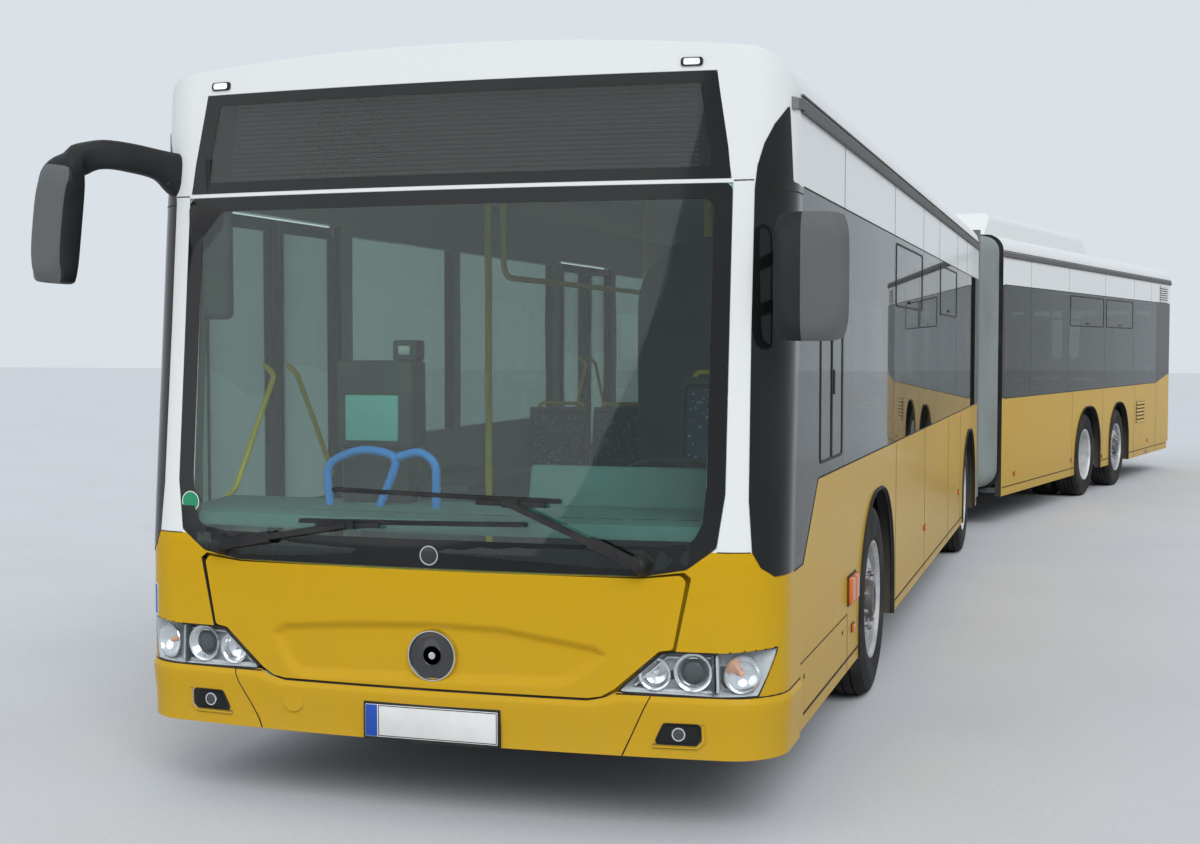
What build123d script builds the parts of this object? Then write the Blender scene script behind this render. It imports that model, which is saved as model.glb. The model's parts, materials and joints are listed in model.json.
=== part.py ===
"""Four-axle articulated city bus, standing as it parks with its rear section turned to the left.

Each section is drawn straight: nose on y = 0, middle plane on x = 0, ground on z = 0, with the
driver's side at +X and the doors at -X. The rear section and the centre hoop are then turned about
the pivot, and all is set so that the origin lies on the ground under the middle of the vehicle.
"""

import os
from math import cos, radians, sin

from build123d import *

os.makedirs("parts", exist_ok=True)

# Overall size, in millimetres
LENGTH = 19540.0
WIDTH = 2550.0
ROOF_Z = 2860.0
PIVOT_Y = 10035.0
BEND_ANGLE = 12.39
FRONT_END_Y = 9400.0
REAR_START_Y = 10870.0

# Axle places along the straight vehicle and the tyre size
FRONT_AXLE_Y = 2705.0
MIDDLE_AXLE_Y = 8550.0
DRIVE_AXLE_Y = 14540.0
TRAILING_AXLE_Y = 16140.0
TYRE_RADIUS = 478.25
TYRE_WIDTH = 275.0
BEAD_RADIUS = 286.0
STEER_ANGLE = 40.0

# Body shell
WALL = 60.0
SKIRT_Z = 318.0
REAR_SKIRT_Z = 290.0
WALL_TOP = 2595.0
SHOULDER_RADIUS = 160.0
ROOF_BOW = 5.5
FLOOR_Z = 370.0
FLOOR = 50.0
GLASS = 6.0
SEAT_GAP = 0.3
RUNNING_GAP = 0.3
GLASS_BOTTOM = 1235.0
GLASS_TOP = 2325.0
PILLAR = 110.0
SILL = 40.0

# Nose and tail
NOSE_BOTTOM = 300.0
BUMPER_TOP = 520.0
KNEE_Z = 1000.0
NOSE_RAKE = 0.096
NOSE_CORNER = 220.0
NOSE_BOW = 6.3
NOSE_END = 480.0
TAIL_BOTTOM = 390.0
TAIL_CORNER = 110.0
TAIL_BOW = 4.0
TAIL_DEPTH = 240.0
TAIL_SKIN = 25.0
TAIL_START_Y = LENGTH - TAIL_DEPTH

# Towing sockets and the holes for the front plate
SOCKET_RADIUS = 18.0
SOCKET_X = -560.0
SOCKET_Z = 420.0
SOCKET_START_Y = 40.0
SOCKET_LENGTH = 100.0
SOCKET_BOSS = 34.0
RECESS_RADIUS = 40.0
PLATE_HOLE = 3.5
PLATE_HOLE_X = 150.0
PLATE_HOLE_Z = 395.0

# Wheel hubs, kingpins and axle beams
HALF = WIDTH / 2
AXLE_Z = TYRE_RADIUS
SINGLE_WHEEL_X = HALF - 160.0
TWIN_WHEEL_X = HALF - 177.0
TWIN_SPACING = TYRE_WIDTH + 35.0
KINGPIN_X = SINGLE_WHEEL_X - 115.0
KINGPIN_RADIUS = 38.0
KINGPIN_HALF = 95.0
KNUCKLE_HALF = 52.0
SPINDLE_RADIUS = 45.0
BEAM_BOTTOM = 200.0
BEAM_TOP = 290.0
BEAM_HALF = 45.0
PAD_RADIUS = 70.0
PAD_X = 430.0
UNDER_FLOOR = FLOOR_Z - FLOOR

# Wheel arches and wheel houses
ARCH_TOP = 2 * TYRE_RADIUS + 79.5
ARCH_AHEAD = TYRE_RADIUS + 231.75
ARCH_BEHIND = TYRE_RADIUS + 76.75
ARCH_FRONT_CORNER = 600.0
ARCH_CORNER = 500.0
HOUSE_SKIN = 20.0
HOUSE_X = KINGPIN_X - TYRE_RADIUS * sin(radians(STEER_ANGLE)) - 52.6
TWIN_HOUSE_X = TWIN_WHEEL_X - TWIN_SPACING - TYRE_WIDTH / 2 - 105.5

# Doors
DOOR_WIDTH = 1250.0
DOOR_TOP = 2325.0
DOOR_POST = 70.0
FRONT_DOOR_Y = 520.0
MIDDLE_DOOR_Y = 5080.0
REAR_DOOR_Y = 11450.0
LEAF = 45.0
LEAF_SIDE_GAP = 10.0
LEAF_MID_GAP = 12.0
LEAF_TOP_GAP = 12.0
LEAF_BOTTOM = FLOOR_Z + 12.0
LEAF_FRAME = 55.0
LEAF_PANEL = 90.0
PANE_SEAT = 12.0
PIVOT_INSET = 60.0
PIN_RADIUS = 12.0

# Joint between the sections
HOOP_HALF = 40.0
DISC_RADIUS = 1040.0
DISC = 25.0
DISC_GAP = 12.0
BELLOWS_HALF_WIDTH = HALF - 35.0
BELLOWS_TOP = 2790.0
BELLOWS_BOTTOM = 375.0
BELLOWS = 60.0

# Driver's place, and the engine bay with the deck over it
CAB_FLOOR_Z = 620.0
CAB_INNER_X = 250.0
CAB_ROOM = 75.0
CAB_REAR_Y = FRONT_AXLE_Y - ARCH_AHEAD - HOUSE_SKIN - CAB_ROOM
DRIVER_X = HALF - 555.0
ENGINE_BAY_Y = LENGTH - 2540.0
DECK_Z = 1150.0
DECK = 50.0
RAIL_X = 450.0
RAIL_WIDTH = 80.0
RAIL_DEPTH = 60.0

# The origin lies under the middle of the box round the bent vehicle with its mirrors
MIRROR_REACH = HALF + 270.0
MIRROR_FORWARD = 190.0
TAIL_REACH = LENGTH - PIVOT_Y
BEND = radians(BEND_ANGLE)
STAND_X = (TAIL_REACH * sin(BEND) + HALF * cos(BEND) - MIRROR_REACH) / 2
STAND_Y = (PIVOT_Y + TAIL_REACH * cos(BEND) + HALF * sin(BEND) - MIRROR_FORWARD) / 2

front_place = Location((-STAND_X, -STAND_Y, 0))
hoop_place = front_place * Location((0, PIVOT_Y, 0), (0, 0, -BEND_ANGLE / 2)) * Location((0, -PIVOT_Y, 0))
rear_place = front_place * Location((0, PIVOT_Y, 0), (0, 0, -BEND_ANGLE)) * Location((0, -PIVOT_Y, 0))


def write(piece, name, place):
    """Set a finished piece in its section's place, label it and write its file."""
    placed = piece.moved(place)
    placed.label = name
    export_step(placed, f"parts/{name}.step")


def bowed_outline(corner, bow, inset, base):
    """Face with a gently bowed far edge at v = 0, round corners and a straight near edge at -base."""
    angle = radians(bow)
    middle = radians((bow + 90) / 2)
    corner_x = HALF - corner
    bow_radius = (corner_x + corner * sin(angle)) / sin(angle)
    corner_v = -(corner * cos(angle) + bow_radius * (1 - cos(angle)))
    radius = corner - inset
    start = (corner_x + radius * sin(angle), corner_v + radius * cos(angle))
    halfway = (corner_x + radius * sin(middle), corner_v + radius * cos(middle))
    end = (HALF - inset, corner_v)
    with BuildSketch() as outline:
        with BuildLine():
            ThreePointArc((-start[0], start[1]), (0, -inset), start)
            ThreePointArc(start, halfway, end)
            Line(end, (end[0], -base))
            Line((end[0], -base), (-end[0], -base))
            Line((-end[0], -base), (-end[0], end[1]))
            ThreePointArc((-end[0], end[1]), (-halfway[0], halfway[1]), (-start[0], start[1]))
        make_face()
    return outline.sketch


def section_plane(y):
    """Upright plane across the vehicle at y, its local y pointing up from the roof's crown."""
    return Plane(origin=(0, y, ROOF_Z), x_dir=(1, 0, 0), z_dir=(0, -1, 0))


def rake(z):
    """How far the nose leans back at height z, which starts above the knee."""
    return max(0.0, z - KNEE_Z) * NOSE_RAKE


def nose_plane(z):
    """Level plane at z whose local y points forward from the nose."""
    return Plane(origin=(0, rake(z), z), x_dir=(1, 0, 0), z_dir=(0, 0, -1))


def nose_block(inset, bottom):
    """The nose as a solid, drawn in from its outer face by inset and cut off level at bottom."""
    top = ROOF_Z + 40
    low_face = bowed_outline(NOSE_CORNER, NOSE_BOW, inset, NOSE_END)
    top_face = bowed_outline(NOSE_CORNER, NOSE_BOW, inset, NOSE_END - rake(top))
    across_face = bowed_outline(SHOULDER_RADIUS, ROOF_BOW, inset, ROOF_Z)
    with BuildPart() as block:
        with BuildSketch(nose_plane(bottom)):
            add(low_face)
        extrude(amount=-(KNEE_Z - bottom))
        with BuildSketch(nose_plane(KNEE_Z)):
            add(low_face)
        with BuildSketch(nose_plane(top)):
            add(top_face)
        loft(ruled=True)
        with BuildSketch(section_plane(-100)):
            add(across_face)
        extrude(amount=-(NOSE_END + 100), mode=Mode.INTERSECT)
    return block.part


def across(first_z, rows, last_z):
    """Whole outline of x and z from its half: rows are the distance in from the body's side, and z."""
    half = [(HALF - inset, z) for inset, z in rows]
    mirrored = [(-x, z) for x, z in reversed(half)]
    return [(0, first_z), *half, (0, last_z), *mirrored]


def front_prism(outline, depth):
    """Straight prism back through the nose from an outline of x and z."""
    with BuildPart() as prism:
        with BuildSketch(Plane.XZ.offset(60)):
            with BuildLine():
                Polyline(*outline, close=True)
            make_face()
        extrude(amount=-(depth + 60))
    return prism.part


def skin(outer, inner, prism):
    """The layer between two nested blocks, inside a prism."""
    with BuildPart() as layer:
        add(outer)
        add(inner, mode=Mode.SUBTRACT)
        add(prism, mode=Mode.INTERSECT)
    return layer.part


def box(low, high):
    """Plain box between two corners, as a private solid."""
    size = [b - a for a, b in zip(low, high)]
    middle = [(a + b) / 2 for a, b in zip(low, high)]
    with BuildPart() as block:
        with Locations(tuple(middle)):
            Box(*size)
    return block.part


# Outlines on the nose: rows are the distance in from the body's side, and z
windscreen_rows = ((476, 939), (325, 966), (220, 1043), (194, 1232), (194, 2321))
screen_hole_rows = ((476, 990), (315, 1010), (265, 1080), (255, 2270))
flap_rows = ((485, 932), (345, 947), (327, 925), (372, 684), (421, 677), (582, 535), (629, 508), (675, 500))
flap_hole_rows = ((485, 938), (333, 958), (308, 938), (362, 676), (413, 668), (573, 527), (623, 500), (673, 493))
lamp_rows = ((573, 527), (413, 668), (362, 676), (220, 676), (23, 692), (80, 525), (212, 521))
windscreen_outline = across(927, windscreen_rows, 2321)
screen_hole = across(985, screen_hole_rows, 2270)
display_outline = across(2335, ((200, 2335), (260, 2720)), 2720)
display_hole = across(2375, ((265, 2375), (315, 2680)), 2680)
flap_outline = across(920, flap_rows, 488)
flap_hole = across(926, flap_hole_rows, 481)
LAMP_DEPTH = 55.0
FLAP_SKIN = 20.0
FLAP_ROOM = 40.0
CUT_DEPTH = 200.0

nose = nose_block(0, NOSE_BOTTOM)
nose_room = nose_block(-SEAT_GAP, NOSE_BOTTOM)
nose_hollow = nose_block(WALL, NOSE_BOTTOM - 10)
under_glass = nose_block(GLASS + SEAT_GAP, NOSE_BOTTOM - 10)
behind_glass = nose_block(GLASS, NOSE_BOTTOM - 10)
behind_flap = nose_block(FLAP_SKIN, NOSE_BOTTOM - 10)
flap_room = nose_block(FLAP_ROOM, NOSE_BOTTOM - 10)
behind_lamp = nose_block(LAMP_DEPTH, NOSE_BOTTOM - 10)
screen_prism = front_prism(windscreen_outline, CUT_DEPTH)
display_prism = front_prism(display_outline, 2 * CUT_DEPTH)
flap_room_prism = front_prism(flap_hole, CUT_DEPTH)


lamp_prisms = [front_prism([(side * (HALF - inset), z) for inset, z in lamp_rows], CUT_DEPTH) for side in (1, -1)]

# Driver's side window, y and z, which crosses from the nose into the left wall
driver_pane = ((345, 940), (530, 942), (858, GLASS_BOTTOM), (1495, GLASS_BOTTOM), (1495, GLASS_TOP),
               (478, GLASS_TOP), (478, 2290), (345, 1235))
driver_hole = ((395, 985), (515, 987), (840, 1280), (1440, 1280), (1440, 2285), (525, 2285), (395, 1200))


def side_prism(outline, side):
    """Prism of an outline of y and z, reaching in through one side of the body."""
    with BuildPart() as prism:
        with BuildSketch(Plane.YZ.offset(side * (HALF + 40))):
            with BuildLine():
                Polyline(*outline, close=True)
            make_face()
        extrude(amount=-side * (WALL + 120))
    return prism.part


def side_layer(outline, inner_x, outer_x):
    """Flat layer of an outline of y and z between two values of x on the left side."""
    with BuildPart() as layer:
        add(side_prism(outline, 1))
        add(box((inner_x, 0, 0), (outer_x, CAB_REAR_Y, ROOF_Z)), mode=Mode.INTERSECT)
    return layer.part


driver_recess = side_layer(driver_pane, HALF - GLASS - SEAT_GAP, HALF + 40)
driver_glass = side_layer(driver_pane, HALF - GLASS, HALF)

# Nose panel with the pillars, the header over the windscreen and the cross wall behind the flap
with BuildPart() as front_mask:
    add(nose)
    add(nose_hollow, mode=Mode.SUBTRACT)
    add(box((-WIDTH, -100, 0), (WIDTH, NOSE_END + 100, BUMPER_TOP)), mode=Mode.SUBTRACT)
    add(skin(nose, under_glass, screen_prism), mode=Mode.SUBTRACT)
    add(skin(nose, under_glass, display_prism), mode=Mode.SUBTRACT)
    add(skin(nose, flap_room, flap_room_prism), mode=Mode.SUBTRACT)
    add(front_prism(screen_hole, 2 * CUT_DEPTH), mode=Mode.SUBTRACT)
    add(front_prism(display_hole, 2 * CUT_DEPTH), mode=Mode.SUBTRACT)
    for prism in lamp_prisms:
        add(prism, mode=Mode.SUBTRACT)
    add(driver_recess, mode=Mode.SUBTRACT)
    add(side_prism(driver_hole, 1), mode=Mode.SUBTRACT)
write(front_mask.part, "front_mask", front_place)

# Windscreen and the pane of the display above it, flush in the nose
screens = Compound(children=[skin(nose, behind_glass, screen_prism), skin(nose, behind_glass, display_prism)])
write(screens, "windscreen", front_place)

# Service flap between the headlamps, with two hinge barrels along its top edge
FLAP_BARREL_RADIUS = 6.0
FLAP_BARREL_X = 180.0
FLAP_BARREL_LENGTH = 40.0
FLAP_AXIS_Y = -3.0
FLAP_AXIS_Z = 924.0
FLAP_STRAP_HEIGHT = 34.0
FLAP_STRAP = 15.0
with BuildPart() as front_flap:
    add(skin(nose, behind_flap, front_prism(flap_outline, CUT_DEPTH)))
    for side in (1, -1):
        start_x = side * FLAP_BARREL_X - FLAP_BARREL_LENGTH / 2
        with BuildSketch(Plane.YZ.offset(start_x)):
            with Locations((FLAP_AXIS_Y, FLAP_AXIS_Z)):
                Circle(FLAP_BARREL_RADIUS)
        extrude(amount=FLAP_BARREL_LENGTH)
        add(box((start_x, FLAP_AXIS_Y, FLAP_AXIS_Z - FLAP_STRAP_HEIGHT),
                (start_x + FLAP_BARREL_LENGTH, FLAP_AXIS_Y + FLAP_STRAP, FLAP_AXIS_Z)))
write(front_flap.part, "front_flap", front_place)

# Bumper below the headlamps and the flap, with a towing socket in a round recess and the plate's holes
with BuildPart() as front_bumper:
    add(nose)
    add(nose_hollow, mode=Mode.SUBTRACT)
    add(box((-WIDTH, -100, BUMPER_TOP), (WIDTH, NOSE_END + 100, ROOF_Z + 100)), mode=Mode.SUBTRACT)
    add(skin(nose, flap_room, flap_room_prism), mode=Mode.SUBTRACT)
    with BuildSketch(Plane.XZ.offset(-SOCKET_START_Y)):
        with Locations((SOCKET_X, SOCKET_Z)):
            Circle(SOCKET_BOSS)
    extrude(amount=-SOCKET_LENGTH)
    with BuildSketch(Plane.XZ.offset(-SOCKET_START_Y)):
        with Locations((SOCKET_X, SOCKET_Z)):
            Circle(RECESS_RADIUS)
    extrude(amount=CUT_DEPTH, mode=Mode.SUBTRACT)
    with BuildSketch(Plane.XZ):
        with Locations((SOCKET_X, SOCKET_Z)):
            Circle(SOCKET_RADIUS)
        with Locations((PLATE_HOLE_X, PLATE_HOLE_Z), (-PLATE_HOLE_X, PLATE_HOLE_Z)):
            Circle(PLATE_HOLE)
    extrude(amount=CUT_DEPTH, both=True, mode=Mode.SUBTRACT)
write(front_bumper.part, "front_bumper", front_place)

# Headlamps, set round the front corners
lamps = Compound(children=[skin(nose, behind_lamp, prism) for prism in lamp_prisms])
write(lamps, "headlamps", front_place)


# Wheel arches: each row is axle y, reach ahead, reach behind, front corner radius, rear corner radius
long_arch = (ARCH_AHEAD, ARCH_BEHIND, ARCH_FRONT_CORNER, ARCH_CORNER)
arches = (
    (FRONT_AXLE_Y, *long_arch),
    (MIDDLE_AXLE_Y, *long_arch),
    (DRIVE_AXLE_Y, *long_arch),
    (TRAILING_AXLE_Y, ARCH_BEHIND, ARCH_BEHIND, ARCH_CORNER, ARCH_CORNER),
)
DIAGONAL = cos(radians(45))


def arch_prism(arch, side):
    """Prism of one wheel arch through the side wall."""
    axle_y, ahead, behind, front_radius, rear_radius = arch
    low = SKIRT_Z - 150
    front_y = axle_y - ahead
    rear_y = axle_y + behind
    with BuildPart() as prism:
        with BuildSketch(Plane.YZ.offset(side * (HALF + 40))):
            with BuildLine():
                Line((front_y, low), (front_y, ARCH_TOP - front_radius))
                ThreePointArc((front_y, ARCH_TOP - front_radius),
                              (front_y + front_radius * (1 - DIAGONAL), ARCH_TOP - front_radius * (1 - DIAGONAL)),
                              (front_y + front_radius, ARCH_TOP))
                Line((front_y + front_radius, ARCH_TOP), (rear_y - rear_radius, ARCH_TOP))
                ThreePointArc((rear_y - rear_radius, ARCH_TOP),
                              (rear_y - rear_radius * (1 - DIAGONAL), ARCH_TOP - rear_radius * (1 - DIAGONAL)),
                              (rear_y, ARCH_TOP - rear_radius))
                Line((rear_y, ARCH_TOP - rear_radius), (rear_y, low))
                Line((rear_y, low), (front_y, low))
            make_face()
        extrude(amount=-side * (WALL + 120))
    return prism.part


def side_wall(side, span, skirt, panes, doors, wall_arches):
    """One side wall: window bays behind a flush glass band, door openings and wheel arches."""
    outer_x = side * HALF
    inner_x = side * (HALF - WALL)
    recess_x = side * (HALF - GLASS - SEAT_GAP)
    with BuildPart() as wall:
        with BuildSketch(Plane.YZ.offset(inner_x)):
            with Locations(((span[0] + span[1]) / 2, (skirt + WALL_TOP) / 2)):
                Rectangle(span[1] - span[0], WALL_TOP - skirt)
        extrude(amount=outer_x - inner_x)
        for start_y, end_y in panes:
            with BuildSketch(Plane.YZ.offset(recess_x)):
                with Locations(((start_y + end_y) / 2, (GLASS_BOTTOM + GLASS_TOP) / 2)):
                    Rectangle(end_y - start_y, GLASS_TOP - GLASS_BOTTOM)
            extrude(amount=side * WALL, mode=Mode.SUBTRACT)
            with BuildSketch(Plane.YZ.offset(inner_x)):
                with Locations(((start_y + end_y) / 2, (GLASS_BOTTOM + GLASS_TOP) / 2)):
                    Rectangle(end_y - start_y - PILLAR, GLASS_TOP - GLASS_BOTTOM - 2 * SILL)
            extrude(amount=side * WALL, both=True, mode=Mode.SUBTRACT)
        for start_y in doors:
            with BuildSketch(Plane.YZ.offset(inner_x)):
                with Locations((start_y + DOOR_WIDTH / 2, (FLOOR_Z + DOOR_TOP) / 2)):
                    Rectangle(DOOR_WIDTH, DOOR_TOP - FLOOR_Z)
            extrude(amount=side * WALL, both=True, mode=Mode.SUBTRACT)
        for arch in wall_arches:
            add(arch_prism(arch, side), mode=Mode.SUBTRACT)
    return wall.part


def glazing(side, panes):
    """Panes of one side, each a flat sheet flush with the wall's outer face."""
    sheets = []
    for start_y, end_y in panes:
        inner, outer = sorted((side * (HALF - GLASS), side * HALF))
        sheets.append(box((inner, start_y + 3, GLASS_BOTTOM), (outer, end_y - 3, GLASS_TOP)))
    return sheets


def bays(edges):
    """Pairs of neighbouring edges."""
    return list(zip(edges[:-1], edges[1:]))


LAST_PANE_Y = LENGTH - 1090.0
front_left_panes = bays((1495, 3250, 4700, 5740, 7170, 8100, 9350))
front_right_panes = bays((FRONT_DOOR_Y + DOOR_WIDTH + DOOR_POST, 3250, MIDDLE_DOOR_Y - DOOR_POST))
front_right_panes += bays((MIDDLE_DOOR_Y + DOOR_WIDTH + DOOR_POST, 7800, 9350))
rear_left_panes = bays((10930, 11890, 13483, 15276, 16952, LAST_PANE_Y))
rear_right_panes = [(10930, REAR_DOOR_Y - DOOR_POST)]
rear_right_panes += bays((REAR_DOOR_Y + DOOR_WIDTH + DOOR_POST, 14000, 15276, 16952, LAST_PANE_Y))

# Side walls of the front section, the driver's window cut into the left one
front_span = (NOSE_END, FRONT_END_Y)
with BuildPart() as front_left_wall:
    add(side_wall(1, front_span, SKIRT_Z, front_left_panes, (), arches[:2]))
    add(driver_recess, mode=Mode.SUBTRACT)
    add(side_prism(driver_hole, 1), mode=Mode.SUBTRACT)
write(front_left_wall.part, "front_left_wall", front_place)
front_right_wall = side_wall(-1, front_span, SKIRT_Z, front_right_panes, (FRONT_DOOR_Y, MIDDLE_DOOR_Y), arches[:2])
write(front_right_wall, "front_right_wall", front_place)

# Side walls of the rear section
rear_span = (REAR_START_Y, TAIL_START_Y)
write(side_wall(1, rear_span, REAR_SKIRT_Z, rear_left_panes, (), arches[2:]), "rear_left_wall", rear_place)
rear_right_wall = side_wall(-1, rear_span, REAR_SKIRT_Z, rear_right_panes, (REAR_DOOR_Y,), arches[2:])
write(rear_right_wall, "rear_right_wall", rear_place)

# Side window glass
front_sheets = glazing(1, front_left_panes) + glazing(-1, front_right_panes) + [driver_glass]
write(Compound(children=front_sheets), "front_glazing", front_place)
rear_sheets = glazing(1, rear_left_panes) + glazing(-1, rear_right_panes)


def roof_shell(start_y, end_y):
    """Roof skin over one section, standing on the side walls."""
    outer = bowed_outline(SHOULDER_RADIUS, ROOF_BOW, 0, ROOF_Z - WALL_TOP)
    inner = bowed_outline(SHOULDER_RADIUS, ROOF_BOW, WALL, ROOF_Z - WALL_TOP)
    with BuildPart() as roof:
        with BuildSketch(section_plane(start_y)):
            add(outer)
            add(inner, mode=Mode.SUBTRACT)
        extrude(amount=-(end_y - start_y))
    return roof.part


write(roof_shell(NOSE_END, FRONT_END_Y), "front_roof", front_place)
write(roof_shell(REAR_START_Y, TAIL_START_Y), "rear_roof", rear_place)

# Roof unit over the rear section's front half, seated on the bowed roof
UNIT_FRONT_Y = 11300.0
UNIT_REAR_Y = 15800.0
UNIT_SLOPE = 500.0
UNIT_HALF = 950.0
UNIT_TOP = ROOF_Z + 216.0
UNIT_FOOT = ROOF_Z - 28.0
UNIT_EDGE = 90.0
roof_outline = bowed_outline(SHOULDER_RADIUS, ROOF_BOW, -SEAT_GAP, ROOF_Z - WALL_TOP)
with BuildPart() as rear_roof_unit:
    with BuildSketch(Plane.YZ.offset(-UNIT_HALF)):
        with BuildLine():
            Polyline((UNIT_FRONT_Y, UNIT_FOOT), (UNIT_FRONT_Y + UNIT_SLOPE / 2, UNIT_TOP),
                     (UNIT_REAR_Y - UNIT_SLOPE, UNIT_TOP), (UNIT_REAR_Y, UNIT_FOOT), close=True)
        make_face()
    extrude(amount=2 * UNIT_HALF)
    fillet(rear_roof_unit.edges().filter_by(GeomType.LINE).sort_by(Axis.Z)[-4:], radius=UNIT_EDGE)
    with BuildSketch(section_plane(UNIT_FRONT_Y - 200)):
        add(roof_outline)
    extrude(amount=-(UNIT_REAR_Y - UNIT_FRONT_Y + 400), mode=Mode.SUBTRACT)
write(rear_roof_unit.part, "rear_roof_unit", rear_place)


def wheel_house(arch, house_x, side):
    """Closed box over one wheel, open below and out through the arch; outer and inner corners."""
    axle_y, ahead, behind = arch[:3]
    inner, outer = sorted((side * house_x, side * (HALF - WALL)))
    low = (inner, axle_y - ahead - HOUSE_SKIN, UNDER_FLOOR)
    high = (outer, axle_y + behind + HOUSE_SKIN, ARCH_TOP + HOUSE_SKIN)
    room_low = (inner + HOUSE_SKIN * (side > 0) - 100 * (side < 0), axle_y - ahead, SKIRT_Z - 100)
    room_high = (outer + 100 * (side > 0) - HOUSE_SKIN * (side < 0), axle_y + behind, ARCH_TOP)
    return box(low, high), box(room_low, room_high)


def floor_with_houses(start_y, end_y, rows):
    """Low floor with a wheel house over each wheel; rows pair an arch with its house's inner x."""
    blocks = [wheel_house(arch, house_x, side) for arch, house_x in rows for side in (1, -1)]
    half = HALF - WALL
    with BuildPart() as floor:
        add(box((-half, start_y, UNDER_FLOOR), (half, end_y, FLOOR_Z)))
        for shell, room in blocks:
            add(shell)
        for shell, room in blocks:
            add(room, mode=Mode.SUBTRACT)
    return floor.part


with BuildPart() as disc_room:
    with Locations((0, PIVOT_Y, FLOOR_Z)):
        Cylinder(DISC_RADIUS + DISC_GAP, 4 * FLOOR)

# Front floor, with the driver's platform and the floor's front end fitted into the nose
front_rows = ((arches[0], HOUSE_X), (arches[1], TWIN_HOUSE_X))
platform = box((CAB_INNER_X, -100, FLOOR_Z - 1), (HALF - WALL, CAB_REAR_Y, CAB_FLOOR_Z))
nose_floor = box((-HALF, -100, UNDER_FLOOR), (HALF, NOSE_END, FLOOR_Z))
front_body_floor = floor_with_houses(NOSE_END, FRONT_END_Y, front_rows)
with BuildPart() as nose_inside:
    add(nose_floor)
    add(platform)
    add(nose_block(WALL + SEAT_GAP, NOSE_BOTTOM), mode=Mode.INTERSECT)
with BuildPart() as front_floor:
    add(front_body_floor)
    add(nose_inside.part)
    add(box((CAB_INNER_X, NOSE_END, FLOOR_Z), (HALF - WALL, CAB_REAR_Y, CAB_FLOOR_Z)))
    add(disc_room.part, mode=Mode.SUBTRACT)
write(front_floor.part, "front_floor", front_place)

# Deck over the engine, on a bulkhead and two rails, with a cross beam that holds the towing socket
inner_half = HALF - WALL
RAIL_TOP = UNDER_FLOOR + RAIL_DEPTH
CROSS_HALF = RAIL_X - RAIL_WIDTH / 2 - SEAT_GAP
BULKHEAD_Y = ENGINE_BAY_Y - DECK
with BuildPart() as deck_frame:
    add(box((-inner_half, BULKHEAD_Y, UNDER_FLOOR), (inner_half, ENGINE_BAY_Y, DECK_Z)))
    add(box((-inner_half, ENGINE_BAY_Y - 1, DECK_Z - DECK), (inner_half, TAIL_START_Y, DECK_Z)))
    for side in (1, -1):
        rail_low = (side * RAIL_X - RAIL_WIDTH / 2, ENGINE_BAY_Y - 1, UNDER_FLOOR)
        rail_high = (side * RAIL_X + RAIL_WIDTH / 2, TAIL_START_Y, RAIL_TOP)
        add(box(rail_low, rail_high))
with BuildPart() as cross_beam:
    add(box((-CROSS_HALF, TAIL_START_Y - SOCKET_LENGTH, UNDER_FLOOR), (CROSS_HALF, TAIL_START_Y, RAIL_TOP)))
    with BuildSketch(Plane.XZ.offset(-TAIL_START_Y)):
        with Locations((0, UNDER_FLOOR + RAIL_DEPTH / 2)):
            Circle(SOCKET_RADIUS)
    extrude(amount=SOCKET_LENGTH, both=True, mode=Mode.SUBTRACT)
write(Compound(children=[deck_frame.part, cross_beam.part]), "rear_deck", rear_place)

# Yoke under the joint that ties the rear floor to the pivot, and the turntable of the front section
YOKE_BOTTOM = 190.0
YOKE = 40.0
YOKE_RADIUS = 420.0
YOKE_HALF = 260.0
TURNTABLE_BOTTOM = 236.0
TURNTABLE_TOP = FLOOR_Z - DISC - SEAT_GAP
TURNTABLE_RADIUS = 480.0
ARM_HALF = 300.0
DISC_EDGE_Y = DISC_RADIUS + DISC_GAP
with BuildPart() as yoke:
    with Locations((0, PIVOT_Y, YOKE_BOTTOM + YOKE / 2)):
        Cylinder(YOKE_RADIUS, YOKE)
    add(box((-YOKE_HALF, PIVOT_Y, YOKE_BOTTOM), (YOKE_HALF, PIVOT_Y + DISC_EDGE_Y + 150, YOKE_BOTTOM + YOKE)))
    add(box((-YOKE_HALF, PIVOT_Y + DISC_EDGE_Y + 50, YOKE_BOTTOM),
            (YOKE_HALF, PIVOT_Y + DISC_EDGE_Y + 150, UNDER_FLOOR + 1)))

# Low rear floor, cut back round the joint's disc, with the yoke
rear_rows = ((arches[2], TWIN_HOUSE_X), (arches[3], HOUSE_X))
rear_low_floor = floor_with_houses(REAR_START_Y, BULKHEAD_Y - SEAT_GAP, rear_rows)
with BuildPart() as rear_floor:
    add(rear_low_floor)
    add(disc_room.part, mode=Mode.SUBTRACT)
    add(yoke.part)
write(rear_floor.part, "rear_floor", rear_place)

with BuildPart() as turntable:
    with Locations((0, PIVOT_Y, (TURNTABLE_BOTTOM + TURNTABLE_TOP) / 2)):
        Cylinder(TURNTABLE_RADIUS, TURNTABLE_TOP - TURNTABLE_BOTTOM)
    add(box((-ARM_HALF, PIVOT_Y - DISC_EDGE_Y - 150, TURNTABLE_BOTTOM),
            (ARM_HALF, PIVOT_Y, UNDER_FLOOR)))
write(turntable.part, "turntable", front_place)

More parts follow.
